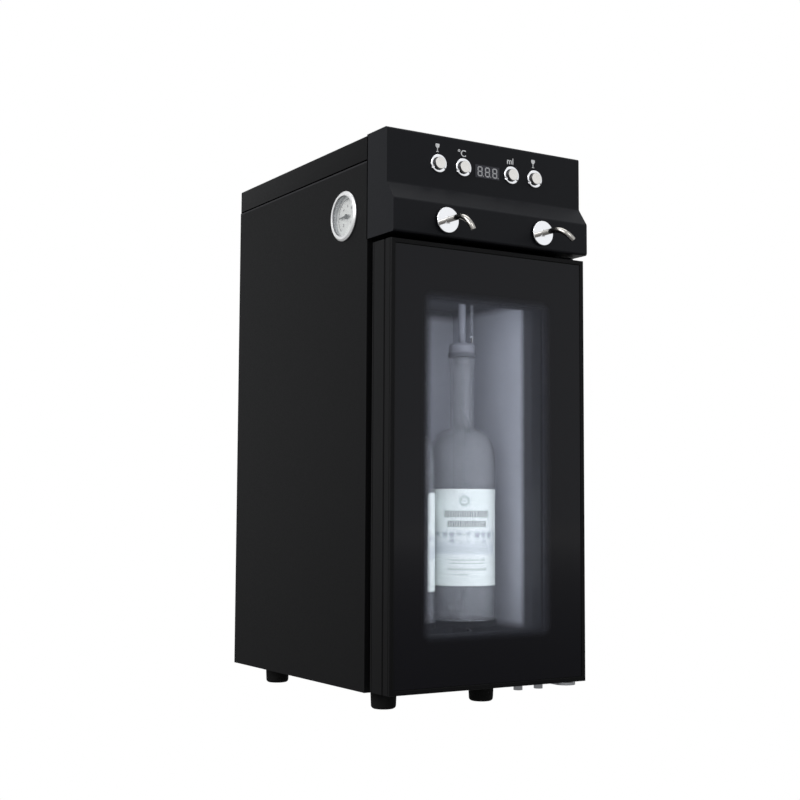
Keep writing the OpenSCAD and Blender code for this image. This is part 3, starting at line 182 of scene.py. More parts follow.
cameraObject.matrix_world = Matrix.Translation(camera["place"]) @ turn.to_4x4()
bpy.context.scene.camera = cameraObject


# light, floor and background

light = {"worldAhead": 1.05, "worldBehind": 0.64, "worldDiffuse": 0.5, "turn": 0.6, "sky": "#F4F6F8",
         "aim": (0, 0, 0.3)}
softBoxes = {
    "sideSoftBox": {"place": (-2.6, -0.5, 1.6), "size": (1.6, 2.0), "power": 50},
    "topSoftBox": {"place": (0.2, 0.3, 2.6), "size": (2.0, 2.0), "power": 23},
    "frontSoftBox": {"place": (-0.7, -2.7, 1.9), "size": (1.2, 1.2), "power": 12},
}


def studioPower(tree):    # the studio's strength along a ray: dimmer behind the object than in front of it
    incoming = addNode(tree, "ShaderNodeNewGeometry").outputs["Incoming"]
    split = addNode(tree, "ShaderNodeSeparateXYZ", links={0: incoming})
    return addNode(tree, "ShaderNodeMapRange",
                   {"From Min": -light["turn"], "From Max": light["turn"], "To Min": light["worldBehind"],
                    "To Max": light["worldAhead"]}, {"Value": split.outputs["Y"]}).outputs[0]


def seenPlainly(tree, rays):    # 1 for what the camera sees, directly or through glass
    return addNode(tree, "ShaderNodeMath", links={0: rays.outputs["Is Camera Ray"],
                                                  1: rays.outputs["Is Transmission Ray"]},
                   operation='MAXIMUM').outputs[0]


bpy.context.scene.view_settings.view_transform = 'Standard'
world = bpy.data.worlds.new("studioWorld")
bpy.context.scene.world = world
world.use_nodes = True
tree = world.node_tree
tree.nodes.clear()
# the studio lights matt faces less than it shows in polished ones, and the camera sees it plain white
rays = addNode(tree, "ShaderNodeLightPath")
power = addNode(tree, "ShaderNodeMix", {2: light["worldDiffuse"]},
                {0: rays.outputs["Is Glossy Ray"], 3: studioPower(tree)}, data_type='FLOAT')
studio = addNode(tree, "ShaderNodeBackground", {"Color": linear(light["sky"])},
                 {"Strength": power.outputs[0]})
white = addNode(tree, "ShaderNodeBackground", {"Color": linear("#FFFFFF"), "Strength": 1.0})
sky = addNode(tree, "ShaderNodeMixShader",
              links={0: seenPlainly(tree, rays), 1: studio.outputs[0], 2: white.outputs[0]})
addNode(tree, "ShaderNodeOutputWorld", links={"Surface": sky.outputs[0]})


def softBox(name, place, aim, size, power, colour="#FFFFFF"):
    data = bpy.data.lights.new(name, 'AREA')
    data.shape = 'RECTANGLE'
    data.size, data.size_y = size
    data.energy = power
    data.color = linear(colour)[:3]
    lamp = bpy.data.objects.new(name, data)
    bpy.context.scene.collection.objects.link(lamp)
    lamp.location = place
    lamp.rotation_euler = (Vector(aim) - Vector(place)).to_track_quat('-Z', 'Y').to_euler()
    return lamp


for lampName, box in softBoxes.items():
    softBox(lampName, box["place"], light["aim"], box["size"], box["power"])

# matt grey studio paper, burnt out to plain white for the camera as in the photograph
floorSet = {"side": 24, "cuts": 3, "paper": "#8E8E8E", "rough": 0.9, "gloss": 0.1, "white": 1.0,
            "mirrored": 0.28, "near": 0.4, "far": 7.0}
bpy.ops.mesh.primitive_plane_add(size=floorSet["side"], location=(0, 0, 0))
floor = bpy.context.active_object
floor.name = "studioFloor"
soloSelect(floor)
bpy.ops.object.mode_set(mode='EDIT')
bpy.ops.mesh.select_all(action='SELECT')
bpy.ops.mesh.subdivide(number_cuts=floorSet["cuts"])
bpy.ops.object.mode_set(mode='OBJECT')
material, tree, shader = newMaterial("mattStudioPaper")
shader.inputs["Base Color"].default_value = linear(floorSet["paper"])
shader.inputs["Roughness"].default_value = floorSet["rough"]
shader.inputs["Specular IOR Level"].default_value = floorSet["gloss"]
rays = addNode(tree, "ShaderNodeLightPath")
burnt = addNode(tree, "ShaderNodeEmission", {"Color": linear("#FFFFFF"), "Strength": floorSet["white"]})
# polished faces mirror it dim near the object and as bright as the studio far off, so no horizon shows
spot = addNode(tree, "ShaderNodeTexCoord")
away = addNode(tree, "ShaderNodeVectorMath", links={0: spot.outputs["Object"]}, operation='LENGTH')
mirrorPower = addNode(tree, "ShaderNodeMapRange", {"From Min": floorSet["near"], "From Max": floorSet["far"],
                                                   "To Min": floorSet["mirrored"]},
                      {"Value": away.outputs["Value"], "To Max": studioPower(tree)})
mirrored = addNode(tree, "ShaderNodeEmission", {"Color": linear("#FFFFFF")},
                   {"Strength": mirrorPower.outputs[0]})
glossy = addNode(tree, "ShaderNodeMixShader",
                 links={0: rays.outputs["Is Glossy Ray"], 1: shader.outputs[0], 2: mirrored.outputs[0]})
share = addNode(tree, "ShaderNodeMixShader",
                links={0: seenPlainly(tree, rays), 1: glossy.outputs[0], 2: burnt.outputs[0]})
tree.links.new(share.outputs[0], tree.nodes["Material Output"].inputs["Surface"])
floor.data.materials.append(material)
print("stage 2: camera and light")


# finishes

def surface(name, colour, rough, metallic=0.0, grainMm=1.0, grainDepthMm=0.02, cloudMm=40.0, cloud=0.08,
            roughSpread=0.05, alpha=1.0, ior=1.5, stretch=(1, 1, 1), specular=0.5):
    # a base finish: fine grain in bump and roughness, slow clouds in colour
    material, tree, shader = newMaterial(name)
    coords = addNode(tree, "ShaderNodeTexCoord")
    place = addNode(tree, "ShaderNodeMapping", {"Scale": stretch}, {"Vector": coords.outputs["Object"]})
    grain = addNode(tree, "ShaderNodeTexNoise", {"Scale": 1000/grainMm, "Detail": 2.0, "Roughness": 0.5},
                    {"Vector": place.outputs[0]})
    clouds = addNode(tree, "ShaderNodeTexNoise", {"Scale": 1000/cloudMm, "Detail": 3.0},
                     {"Vector": coords.outputs["Object"]})
    dark = addNode(tree, "ShaderNodeMix", {6: linear(colour), 7: linear("#000000"), 0: cloud},
                   data_type='RGBA')
    tone = addNode(tree, "ShaderNodeMix", {6: linear(colour)}, {0: clouds.outputs[0], 7: dark.outputs[2]},
                   data_type='RGBA')
    spread = addNode(tree, "ShaderNodeMapRange",
                     {"From Min": 0.3, "From Max": 0.7, "To Min": rough - roughSpread,
                      "To Max": rough + roughSpread}, {"Value": grain.outputs[0]})
    bump = addNode(tree, "ShaderNodeBump", {"Strength": 0.6, "Distance": grainDepthMm*mm},
                   {"Height": grain.outputs[0]})
    tree.links.new(tone.outputs[2], shader.inputs["Base Color"])
    tree.links.new(spread.outputs[0], shader.inputs["Roughness"])
    tree.links.new(bump.outputs[0], shader.inputs["Normal"])
    shader.inputs["Metallic"].default_value = metallic
    shader.inputs["Alpha"].default_value = alpha
    if metallic == 0:
        shader.inputs["IOR"].default_value = ior
        shader.inputs["Specular IOR Level"].default_value = specular
    return material, tree, shader


def darkWalls(tree, shader, axis, low, high, colour):    # painted shade: walls turned away from -axis take the darker colour
    facing = addNode(tree, "ShaderNodeSeparateXYZ",
                     links={0: addNode(tree, "ShaderNodeNewGeometry").outputs["True Normal"]})
    flat = addNode(tree, "ShaderNodeMapRange",
                   {"From Min": low, "From Max": high, "To Min": 1.0, "To Max": 0.0},
                   {"Value": facing.outputs[axis]})
    edge = addNode(tree, "ShaderNodeMix", {6: linear(colour)}, {0: flat.outputs[0], 7: baseTone(shader)},
                   data_type='RGBA')
    tree.links.new(edge.outputs[2], shader.inputs["Base Color"])


# polyester powder coat, satin black: a faint orange peel breaks up the reflections
powderCoat = surface("satinPowderCoat", "#131314", 0.46, grainMm=1.4, grainDepthMm=0.03, cloudMm=120,
                     specular=0.07)[0]
# injection-moulded ABS, dulled by a fine spark-eroded texture
mouldedAbs = surface("mouldedBlackAbs", "#131418", 0.42, grainMm=0.8, grainDepthMm=0.02, cloudMm=90,
                     specular=0.12)[0]
insideAbs = surface("mouldedDarkAbs", "#34363B", 0.5, grainMm=0.8, grainDepthMm=0.02, cloudMm=60,
                    specular=0.2)[0]
# black anodised aluminium extrusion, with the die's fine lines drawn upright, as on the side bars
anodised = surface("blackAnodisedAluminium", "#121213", 0.36, grainMm=1.0, grainDepthMm=0.01,
                   stretch=(1, 1, 0.02), specular=0.075)[0]
# desiccant-filled spacer bar between the panes, dull grey
spacerBar = surface("dullSpacerBar", "#4C4E54", 0.5, grainMm=0.6, grainDepthMm=0.01, cloudMm=40,
                    specular=0.2)[0]
# soft black parts: extruded vinyl with a faint bloom, and moulded rubber with a coarser, dead matt skin
gasketVinyl = surface("softBlackVinyl", "#0C0C0D", 0.62, grainMm=0.5, grainDepthMm=0.03, cloudMm=20,
                      specular=0.1)[0]
footRubber = surface("mouldedBlackRubber", "#151515", 0.7, grainMm=0.6, grainDepthMm=0.05, cloudMm=15,
                     specular=0.15)[0]
# food-grade silicone and moulded nylon of the stoppers and their holders, both dull and even
stopperSilicone = surface("greySilicone", "#5E6066", 0.55, grainMm=0.5, grainDepthMm=0.01, cloudMm=15,
                          specular=0.2)[0]
holderNylon = surface("greyNylon", "#7E8087", 0.5, grainMm=0.5, grainDepthMm=0.01, cloudMm=15,
                      specular=0.2)[0]
# zinc plate, bright and slightly blue, over pressed steel
zincPlate = surface("brightZincPlate", "#C9CBCF", 0.3, metallic=1.0, grainMm=2.5, grainDepthMm=0.01,
                    cloudMm=12, cloud=0.25, roughSpread=0.1)[0]
# decorative chrome plate and mechanically polished stainless tube, the tube with a warmer, softer mirror
mirrorChrome = surface("mirrorChrome", "#F6F6F8", 0.07, metallic=1.0, grainMm=6, grainDepthMm=0.002,
                       cloudMm=15, cloud=0.04, roughSpread=0.02)[0]
polishedStainless = surface("polishedStainless", "#A9A6A1", 0.12, metallic=1.0, grainMm=4, grainDepthMm=0.003,
                            cloudMm=12, cloud=0.06, roughSpread=0.03)[0]
# belt-brushed stainless sheet, its grain drawn out along Z
brushedStainless = surface("brushedStainless", "#B9BBBE", 0.3, metallic=1.0, grainMm=0.5, grainDepthMm=0.008,
                           stretch=(1, 1, 0.05), roughSpread=0.08)[0]
# tray sheet, dark grey: painted shade for the dim bottom of the bay
shadedSteel = surface("pickledTraySteel", "#4B4D51", 0.5, metallic=1.0, grainMm=0.5, grainDepthMm=0.008,
                      roughSpread=0.08)[0]
# button caps: fine satin nickel, paler than the brushed sheet, with painted shade and a painted dark
# reflection on the chamfer and side wall
satinCap, tree, shader = surface("satinNickel", "#E9E6E1", 0.3, metallic=1.0, grainMm=0.5, grainDepthMm=0.004,
                                 cloudMm=10, cloud=0.05)
darkWalls(tree, shader, "Y", -0.95, -0.75, "#3A3A3B")
# plated gauge ring: pale satin front, with painted shade on the walls inside and out
gaugeRing, tree, shader = surface("satinPlatedRing", "#FAFAFA", 0.22, metallic=0.45, grainMm=2,
                                  grainDepthMm=0.003, cloudMm=15, cloud=0.04, roughSpread=0.03)
darkWalls(tree, shader, "X", -0.6, -0.25, "#7C7C80")
# cold-drawn wire, aluminium as rolled or extruded, and turned brass: bare metals with a subdued shine
springWire = surface("drawnSpringSteel", "#8F9195", 0.32, metallic=1.0, grainMm=0.4, grainDepthMm=0.005)[0]
millAluminium = surface("millAluminium", "#B4B7BB", 0.4, metallic=1.0, grainMm=0.8, grainDepthMm=0.01,
                        roughSpread=0.08)[0]
machinedBrass = surface("machinedBrass", "#B89A5B", 0.28, metallic=1.0, grainMm=0.3, grainDepthMm=0.006)[0]
# circuit board under glossy solder mask, milky polycarbonate over the diodes, chalky alumina, waxy nylon
# and dead matt foam
boardResin = surface("greenSolderMask", "#1E5A3B", 0.35, grainMm=1.5, grainDepthMm=0.02, cloudMm=8,
                     cloud=0.3)[0]
opalDiffuser, tree, shader = surface("opalDiffuser", "#F2F6FA", 0.4, grainMm=1.5, grainDepthMm=0.01)
shader.inputs["Emission Color"].default_value = linear("#EAF1FF")
shader.inputs["Emission Strength"].default_value = 0.8
ceramic = surface("whiteCeramic", "#E4E3DE", 0.5, grainMm=0.5, grainDepthMm=0.01)[0]
nylon = surface("naturalNylon", "#D8D6CB", 0.45, grainMm=0.8, grainDepthMm=0.01)[0]
foam = surface("closedCellFoam", "#DCCFA8", 0.9, grainMm=1.5, grainDepthMm=0.2, cloudMm=10, cloud=0.15)[0]
# clear extruded tube, seen mostly by its soft outline
clearTube = surface("clearPvcTube", "#9A9DA4", 0.35, grainMm=2, grainDepthMm=0.005, alpha=0.2,
                    specular=0.3)[0]
# evenly glossy stoved enamels of needle and dial, the fans' dull moulded plastic, and flat printed inks
blackEnamel = surface("blackEnamel", "#0E0E0F", 0.3, grainMm=1, grainDepthMm=0.004)[0]
blackMotor = surface("blackFanPlastic", "#151517", 0.45, grainMm=0.8, grainDepthMm=0.02)[0]
dialEnamel = surface("whiteDialEnamel", "#EDEDEA", 0.35, grainMm=1.2, grainDepthMm=0.004, cloud=0.03)[0]
printWhite = surface("whiteScreenPrint", "#E6E7E8", 0.5, grainMm=0.4, grainDepthMm=0.004, cloud=0.03)[0]
printBlack = surface("blackScreenPrint", "#1C1C1E", 0.5, grainMm=0.4, grainDepthMm=0.004)[0]
segmentGrey = surface("unlitDisplaySegment", "#B9BABD", 0.4, grainMm=0.4, grainDepthMm=0.004)[0]


def lineAlong(name, colour, rough, lines, **more):    # a finish with the dark lines of a joint and pale lines of painted highlight
    material, tree, shader = surface(name, colour, rough, **more)
    shine = addNode(tree, "ShaderNodeValue").outputs[0]
    shine.default_value = more["specular"]
    split = objectSplit(tree)
    tone = baseTone(shader)
    for axis, at, half, ink in lines:
        away = addNode(tree, "ShaderNodeMath", {1: at}, {0: split.outputs[axis]}, operation='SUBTRACT')
        size = addNode(tree, "ShaderNodeMath", links={0: away.outputs[0]}, operation='ABSOLUTE')
        near = addNode(tree, "ShaderNodeMapRange", {"From Min": half*0.7, "From Max": half*1.3, "To Min": 1.0,
                                                    "To Max": 0.0}, {"Value": size.outputs[0]})
        tone = addNode(tree, "ShaderNodeMix", {7: linear(ink)}, {0: near.outputs[0], 6: tone},
                       data_type='RGBA').outputs[2]
        if ink == "#000000":    # an open joint doesn't shine
            shine = addNode(tree, "ShaderNodeMix", {3: 0.0}, {0: near.outputs[0], 2: shine},
                            data_type='FLOAT').outputs[0]
    tree.links.new(tone, shader.inputs["Base Color"])
    tree.links.new(shine, shader.inputs["Specular IOR Level"])
    return material


# hinge plates: bright zinc below the door, painted black under the head
hingeLow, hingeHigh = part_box("hinge_brackets")
hingeSteel, tree, shader = surface("zincAndBlackHinge", "#C9CBCF", 0.3, metallic=1.0, grainMm=2.5,
                                   grainDepthMm=0.01, cloudMm=12, cloud=0.25, roughSpread=0.1)
upper = addNode(tree, "ShaderNodeMath", {1: (hingeLow.z + hingeHigh.z)/2},
                {0: objectSplit(tree).outputs["Z"]}, operation='GREATER_THAN')
coat = addNode(tree, "ShaderNodeMix", {7: linear("#0B0B0C")}, {0: upper.outputs[0], 6: baseTone(shader)},
               data_type='RGBA')
tree.links.new(coat.outputs[2], shader.inputs["Base Color"])
# joints: a dark gap under the lid with a painted highlight along the panel's edge below it, and a dark gap
# behind the head
lidLow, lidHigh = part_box("top_lid")
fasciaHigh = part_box("head_fascia")[1]
lid = {"belowHead": 0.0002, "edge": 0.0018, "edgeSteps": 4, "sheet": 0.001, "joint": 0.0008,
       "jointHalf": 0.0009, "edgeHighlight": 0.0009, "edgeHighlightHalf": 0.0007, "backJoint": 0.0007, "backHalf": 0.0011}
coatLook = {"grainMm": 1.4, "grainDepthMm": 0.03, "cloudMm": 120, "specular": 0.07}
lidCoat = lineAlong("satinPowderCoatLid", "#131314", 0.46,
                    [("Z", lidLow.z + lid["joint"], lid["jointHalf"], "#000000")], **coatLook)
# the pale line below the lid is a painted highlight on the panel's upper edge
sideCoat = lineAlong("satinPowderCoatSide", "#131314", 0.46,
                     [("Z", lidLow.z - lid["edgeHighlight"], lid["edgeHighlightHalf"], "#303032")], **coatLook)
fasciaAbs = lineAlong("mouldedBlackAbsFascia", "#131418", 0.42,
                      [("Y", fasciaHigh.y - lid["backJoint"], lid["backHalf"], "#000000")],
                      grainMm=0.8, grainDepthMm=0.02, cloudMm=90, specular=0.12)
plain = {
    "left_side_panel": sideCoat, "right_side_panel": sideCoat, "top_lid": lidCoat, "rear_panel": powderCoat,
    "base_plate": powderCoat, "front_frame": powderCoat, "inner_bulkhead": zincPlate, "insulation_foam": foam,
    "head_fascia": fasciaAbs, "control_board": boardResin, "solenoid_valves": brushedStainless,
    "wine_lines": clearTube, "gas_lines": clearTube, "gas_manifold": millAluminium,
    "gas_inlet_fitting": machinedBrass, "stopper_heads": holderNylon, "bottle_stoppers": stopperSilicone,
    "gauge_case": zincPlate, "gauge_dial": dialEnamel, "gauge_needle": blackEnamel, "led_bar": opalDiffuser,
    "cold_sink": millAluminium, "thermoelectric_module": ceramic, "hot_sink": millAluminium,
    "rear_fan_frame": blackMotor, "rear_fan_rotor": blackMotor, "inner_fan_rotor": blackMotor,
    "power_supply": zincPlate, "power_inlet": mouldedAbs, "tray_guides": brushedStainless,
    "tray_left": shadedSteel, "tray_right": shadedSteel, "feet": footRubber,
    "hinge_brackets": hingeSteel, "door_frame": anodised, "door_backer": insideAbs, "glass_spacer": spacerBar,
    "door_gasket": gasketVinyl, "hinge_bushes": nylon,
}
for nodeName, finish in plain.items():
    paintNode(nodeName, finish)

# moulded liner: grey walls, with painted shade on bands at the mouth, ceiling and sill round them, the mouth
# band also standing for a dark trim
liner = {"wall": "#B0B3BB", "dark": "#2F3034", "mouth": 0.027, "ceiling": 0.012, "sill": 0.027, "soft": 0.005}
material, tree, shader = surface("mouldedGreyLiner", liner["wall"], 0.45, grainMm=1.5, grainDepthMm=0.02,
                                 cloudMm=80, specular=0.25)
split = objectSplit(tree)
linerLow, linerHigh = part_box("inner_liner")
tone = baseTone(shader)
# painted shade: each band darkens the liner towards the mouth, the sill and the ceiling
for axis, at, way in (("Y", linerLow.y + liner["mouth"], 1), ("Z", linerLow.z + liner["sill"], 1),
                      ("Z", linerHigh.z - liner["ceiling"], -1)):
    reach = way*liner["soft"]
    inside = addNode(tree, "ShaderNodeMapRange", {"From Min": at - reach, "From Max": at + reach},
                     {"Value": split.outputs[axis]})
    tone = addNode(tree, "ShaderNodeMix", {6: linear(liner["dark"])}, {0: inside.outputs[0], 7: tone},
                   data_type='RGBA').outputs[2]
tree.links.new(tone, shader.inputs["Base Color"])
paintNode("inner_liner", material)
paintNode("fan_cover", surface("mouldedGreyGrille", liner["wall"], 0.45, grainMm=1.5, grainDepthMm=0.02,
                               specular=0.25)[0])


# glass

# toughened glass with a black ceramic border that fades out towards the clear window, where a grey veil is a
# painted reflection of glare
door = {"windowInset": 0.012, "rightExtra": 0.0065, "fade": 0.008, "corner": 0.006, "glareCover": 0.34,
        "haze": "#4A4C55"}
innerLow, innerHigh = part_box("inner_glass")
material, tree, shader = surface("borderedSafetyGlass", "#131318", 0.06, grainMm=60, grainDepthMm=0.004,
                                 roughSpread=0.01, specular=0.16)
coords = addNode(tree, "ShaderNodeTexCoord")
windowMiddle = (innerLow + innerHigh)/2 - Vector((door["rightExtra"]/2, 0, 0))
centred = addNode(tree, "ShaderNodeMapping", {"Location": tuple(-windowMiddle)},
                  {"Vector": coords.outputs["Object"]})
split = addNode(tree, "ShaderNodeSeparateXYZ", links={0: centred.outputs[0]})
halfW = (innerHigh.x - innerLow.x - door["rightExtra"])/2 - door["windowInset"]
halfH = (innerHigh.z - innerLow.z)/2 - door["windowInset"]
sides = []
for axis, half in (("X", halfW), ("Z", halfH)):
    size = addNode(tree, "ShaderNodeMath", links={0: split.outputs[axis]}, operation='ABSOLUTE')
    over = addNode(tree, "ShaderNodeMath", {1: half - door["corner"]}, {0: size.outputs[0]},
                   operation='SUBTRACT')
    sides.append(addNode(tree, "ShaderNodeMath", {1: 0.0}, {0: over.outputs[0]}, operation='MAXIMUM'))
square = [addNode(tree, "ShaderNodeMath", {1: 2.0}, {0: s.outputs[0]}, operation='POWER') for s in sides]
summed = addNode(tree, "ShaderNodeMath", links={0: square[0].outputs[0], 1: square[1].outputs[0]})
distance = addNode(tree, "ShaderNodeMath", {1: 0.5}, {0: summed.outputs[0]}, operation='POWER')
border = addNode(tree, "ShaderNodeMapRange", {"From Min": door["corner"] - door["fade"],
                                              "From Max": door["corner"] + door["fade"]},
                 {"Value": distance.outputs[0]}, interpolation_type='SMOOTHSTEP')
# the window's grey veil: a painted reflection of glare on the glass, which also dims the bay behind it
cover = addNode(tree, "ShaderNodeMapRange", {"To Min": door["glareCover"], "To Max": 1.0},
                {"Value": border.outputs[0]})
haze = addNode(tree, "ShaderNodeMix", {6: linear(door["haze"])}, {0: border.outputs[0], 7: baseTone(shader)},
               data_type='RGBA')
tree.links.new(haze.outputs[2], shader.inputs["Base Color"])
tree.links.new(cover.outputs[0], shader.inputs["Alpha"])
paintNode("door_glass", material)
clearGlass = surface("clearFloatGlass", "#DDE4E6", 0.03, grainMm=50, grainDepthMm=0.002, roughSpread=0.01,
                     alpha=0.06)[0]
paintNode("inner_glass", clearGlass)
paintNode("gauge_glass", surface("gaugeWindowGlass", "#E2E8EA", 0.05, grainMm=40, grainDepthMm=0.002,
                                 roughSpread=0.01, alpha=0.12)[0])
paintNode("display_lens", surface("smokedDisplayAcrylic", "#3E3E44", 0.2, grainMm=6, grainDepthMm=0.004,
                                  specular=0.15)[0])
print("stage 3: finishes")


# smoother copies of the turned and plated parts

fine = {"crisp": 35, "weld": 0.00002, "flatWeight": 100}


def smoothCopy(nodeName, material):
    source = nodes[nodeName]
    copy = bpy.data.objects.new("fine_" + nodeName, source.data.copy())
    bpy.context.scene.collection.objects.link(copy)
    soloSelect(copy)
    bpy.ops.object.mode_set(mode='EDIT')
    bpy.ops.mesh.select_all(action='SELECT')
    bpy.ops.mesh.remove_doubles(threshold=fine["weld"])
    bpy.ops.object.mode_set(mode='OBJECT')
    smoothBelow(copy, fine["crisp"])
    applyModifier(copy, "flatFacesFirst", 'WEIGHTED_NORMAL', keep_sharp=True, weight=fine["flatWeight"])
    dress(copy, material, nodeBody[nodeName])
    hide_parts(nodeName)
    return copy


# pale bottle glass, almost lost against the grey bay behind the smoked door, its heel dulled by stippling
bottleShade = {"alpha": 0.27, "colour": "#A6A9AF", "rough": 0.06, "heel": 0.022, "heelSoft": 0.004,
               "heelRough": 0.6, "shadow": 0.04}
bottleGlass, tree, shader = surface("wineBottleGlass", bottleShade["colour"], bottleShade["rough"],
                                    grainMm=30, grainDepthMm=0.01, cloudMm=60,
                                    alpha=bottleShade["alpha"], ior=1.52)
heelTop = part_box("bottle_left")[0].z + bottleShade["heel"]
heel = addNode(tree, "ShaderNodeMapRange",
               {"From Min": heelTop - bottleShade["heelSoft"], "From Max": heelTop + bottleShade["heelSoft"],
                "To Min": bottleShade["heelRough"], "To Max": bottleShade["rough"]},
               {"Value": objectSplit(tree).outputs["Z"]})
tree.links.new(heel.outputs[0], shader.inputs["Roughness"])
# thin clear glass casts next to no shadow on the wall behind it
rays = addNode(tree, "ShaderNodeLightPath")
solid = addNode(tree, "ShaderNodeMapRange", {"To Min": bottleShade["alpha"], "To Max": bottleShade["shadow"]},
                {"Value": rays.outputs["Is Shadow Ray"]})
tree.links.new(solid.outputs[0], shader.inputs["Alpha"])
turned = {
    "spout_left": polishedStainless, "spout_right": polishedStainless, "tap_escutcheons": mirrorChrome,
    "button_housings": mirrorChrome, "button_1": satinCap, "button_2": satinCap,
    "button_3": satinCap, "button_4": satinCap, "gauge_bezel": gaugeRing,
    "fan_guard": mirrorChrome, "fasteners": zincPlate,
    "bottle_left": bottleGlass, "bottle_right": bottleGlass,
}
for nodeName, finish in turned.items():
    smoothCopy(nodeName, finish)
# a smoother copy of each lift spring, given a mesh of its own
for side in ("left", "right"):
    nodeName, joint = "lift_spring_" + side, "lift_" + side + "_slide"
    spring = smoothCopy(nodeName, springWire)
    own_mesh(spring)
print("stage 4: turned parts")


# lid: a folded pan, its top just under the head's

bpy.ops.mesh.primitive_cube_add(size=1, location=(0, 0, 0))
lidPan = bpy.context.active_object
lidPan.name = "lidPan"
lidTop = fasciaHigh.z - lid["belowHead"]
lidPan.scale = (lidHigh.x - lidLow.x, lidHigh.y - lidLow.y, lidTop - lidLow.z)
lidPan.location = ((lidLow.x + lidHigh.x)/2, (lidLow.y + lidHigh.y)/2, (lidLow.z + lidTop)/2)
settle(lidPan)
deleteFaces(lidPan, lambda face: face.normal.z < -0.9)
applyModifier(lidPan, "folds", 'BEVEL', width=lid["edge"], segments=lid["edgeSteps"], limit_method='ANGLE')
applyModifier(lidPan, "sheet", 'SOLIDIFY', thickness=lid["sheet"], offset=-1)
smoothBelow(lidPan)
dress(lidPan, lidCoat, nodeBody["top_lid"])
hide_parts("top_lid")


# labels on the bottles

label = {"low": 0.0425, "high": 0.1497, "turn": -32.0, "halfArc": 78.0, "gap": 0.0001, "paper": 0.00015,
         "segments": 144, "leftDrop": 0.005, "leftTurn": 98.5}


# its print, in shares of the label's width and height from the lower left corner
prints = {
    "paper": "#D8DFDD", "ink": "#2E3438", "discs": "#8E92A2", "ground": "#C3C9CE", "strokes": "#8E93A0",
    "rings": "#A3ADAE", "wide": (0.02, 0.93), "discRow": (0.44, 0.555), "groundRow": (0.325, 0.445),
    "strokeRow": (0.33, 0.42), "discCells": (11, 7.5, 1), "ringAt": (0.515, 0.876, 0.0),
    "ringScale": (0.97, 1.0, 0.0), "ring": (0.030, 0.058), "dot": (-0.01, 0.014),
    # low, high, left, right, strength, and whether it is broken into strokes
    "bars": ((0.705, 0.775, 0.285, 0.815, 0.95, True), (0.605, 0.672, 0.325, 0.78, 0.95, True),
             (0.262, 0.270, 0.346, 0.76, 0.5, False), (0.229, 0.237, 0.346, 0.74, 0.5, False),
             (0.160, 0.180, 0.33, 0.78, 0.6, True), (0.108, 0.124, 0.45, 0.56, 0.6, True)),
}


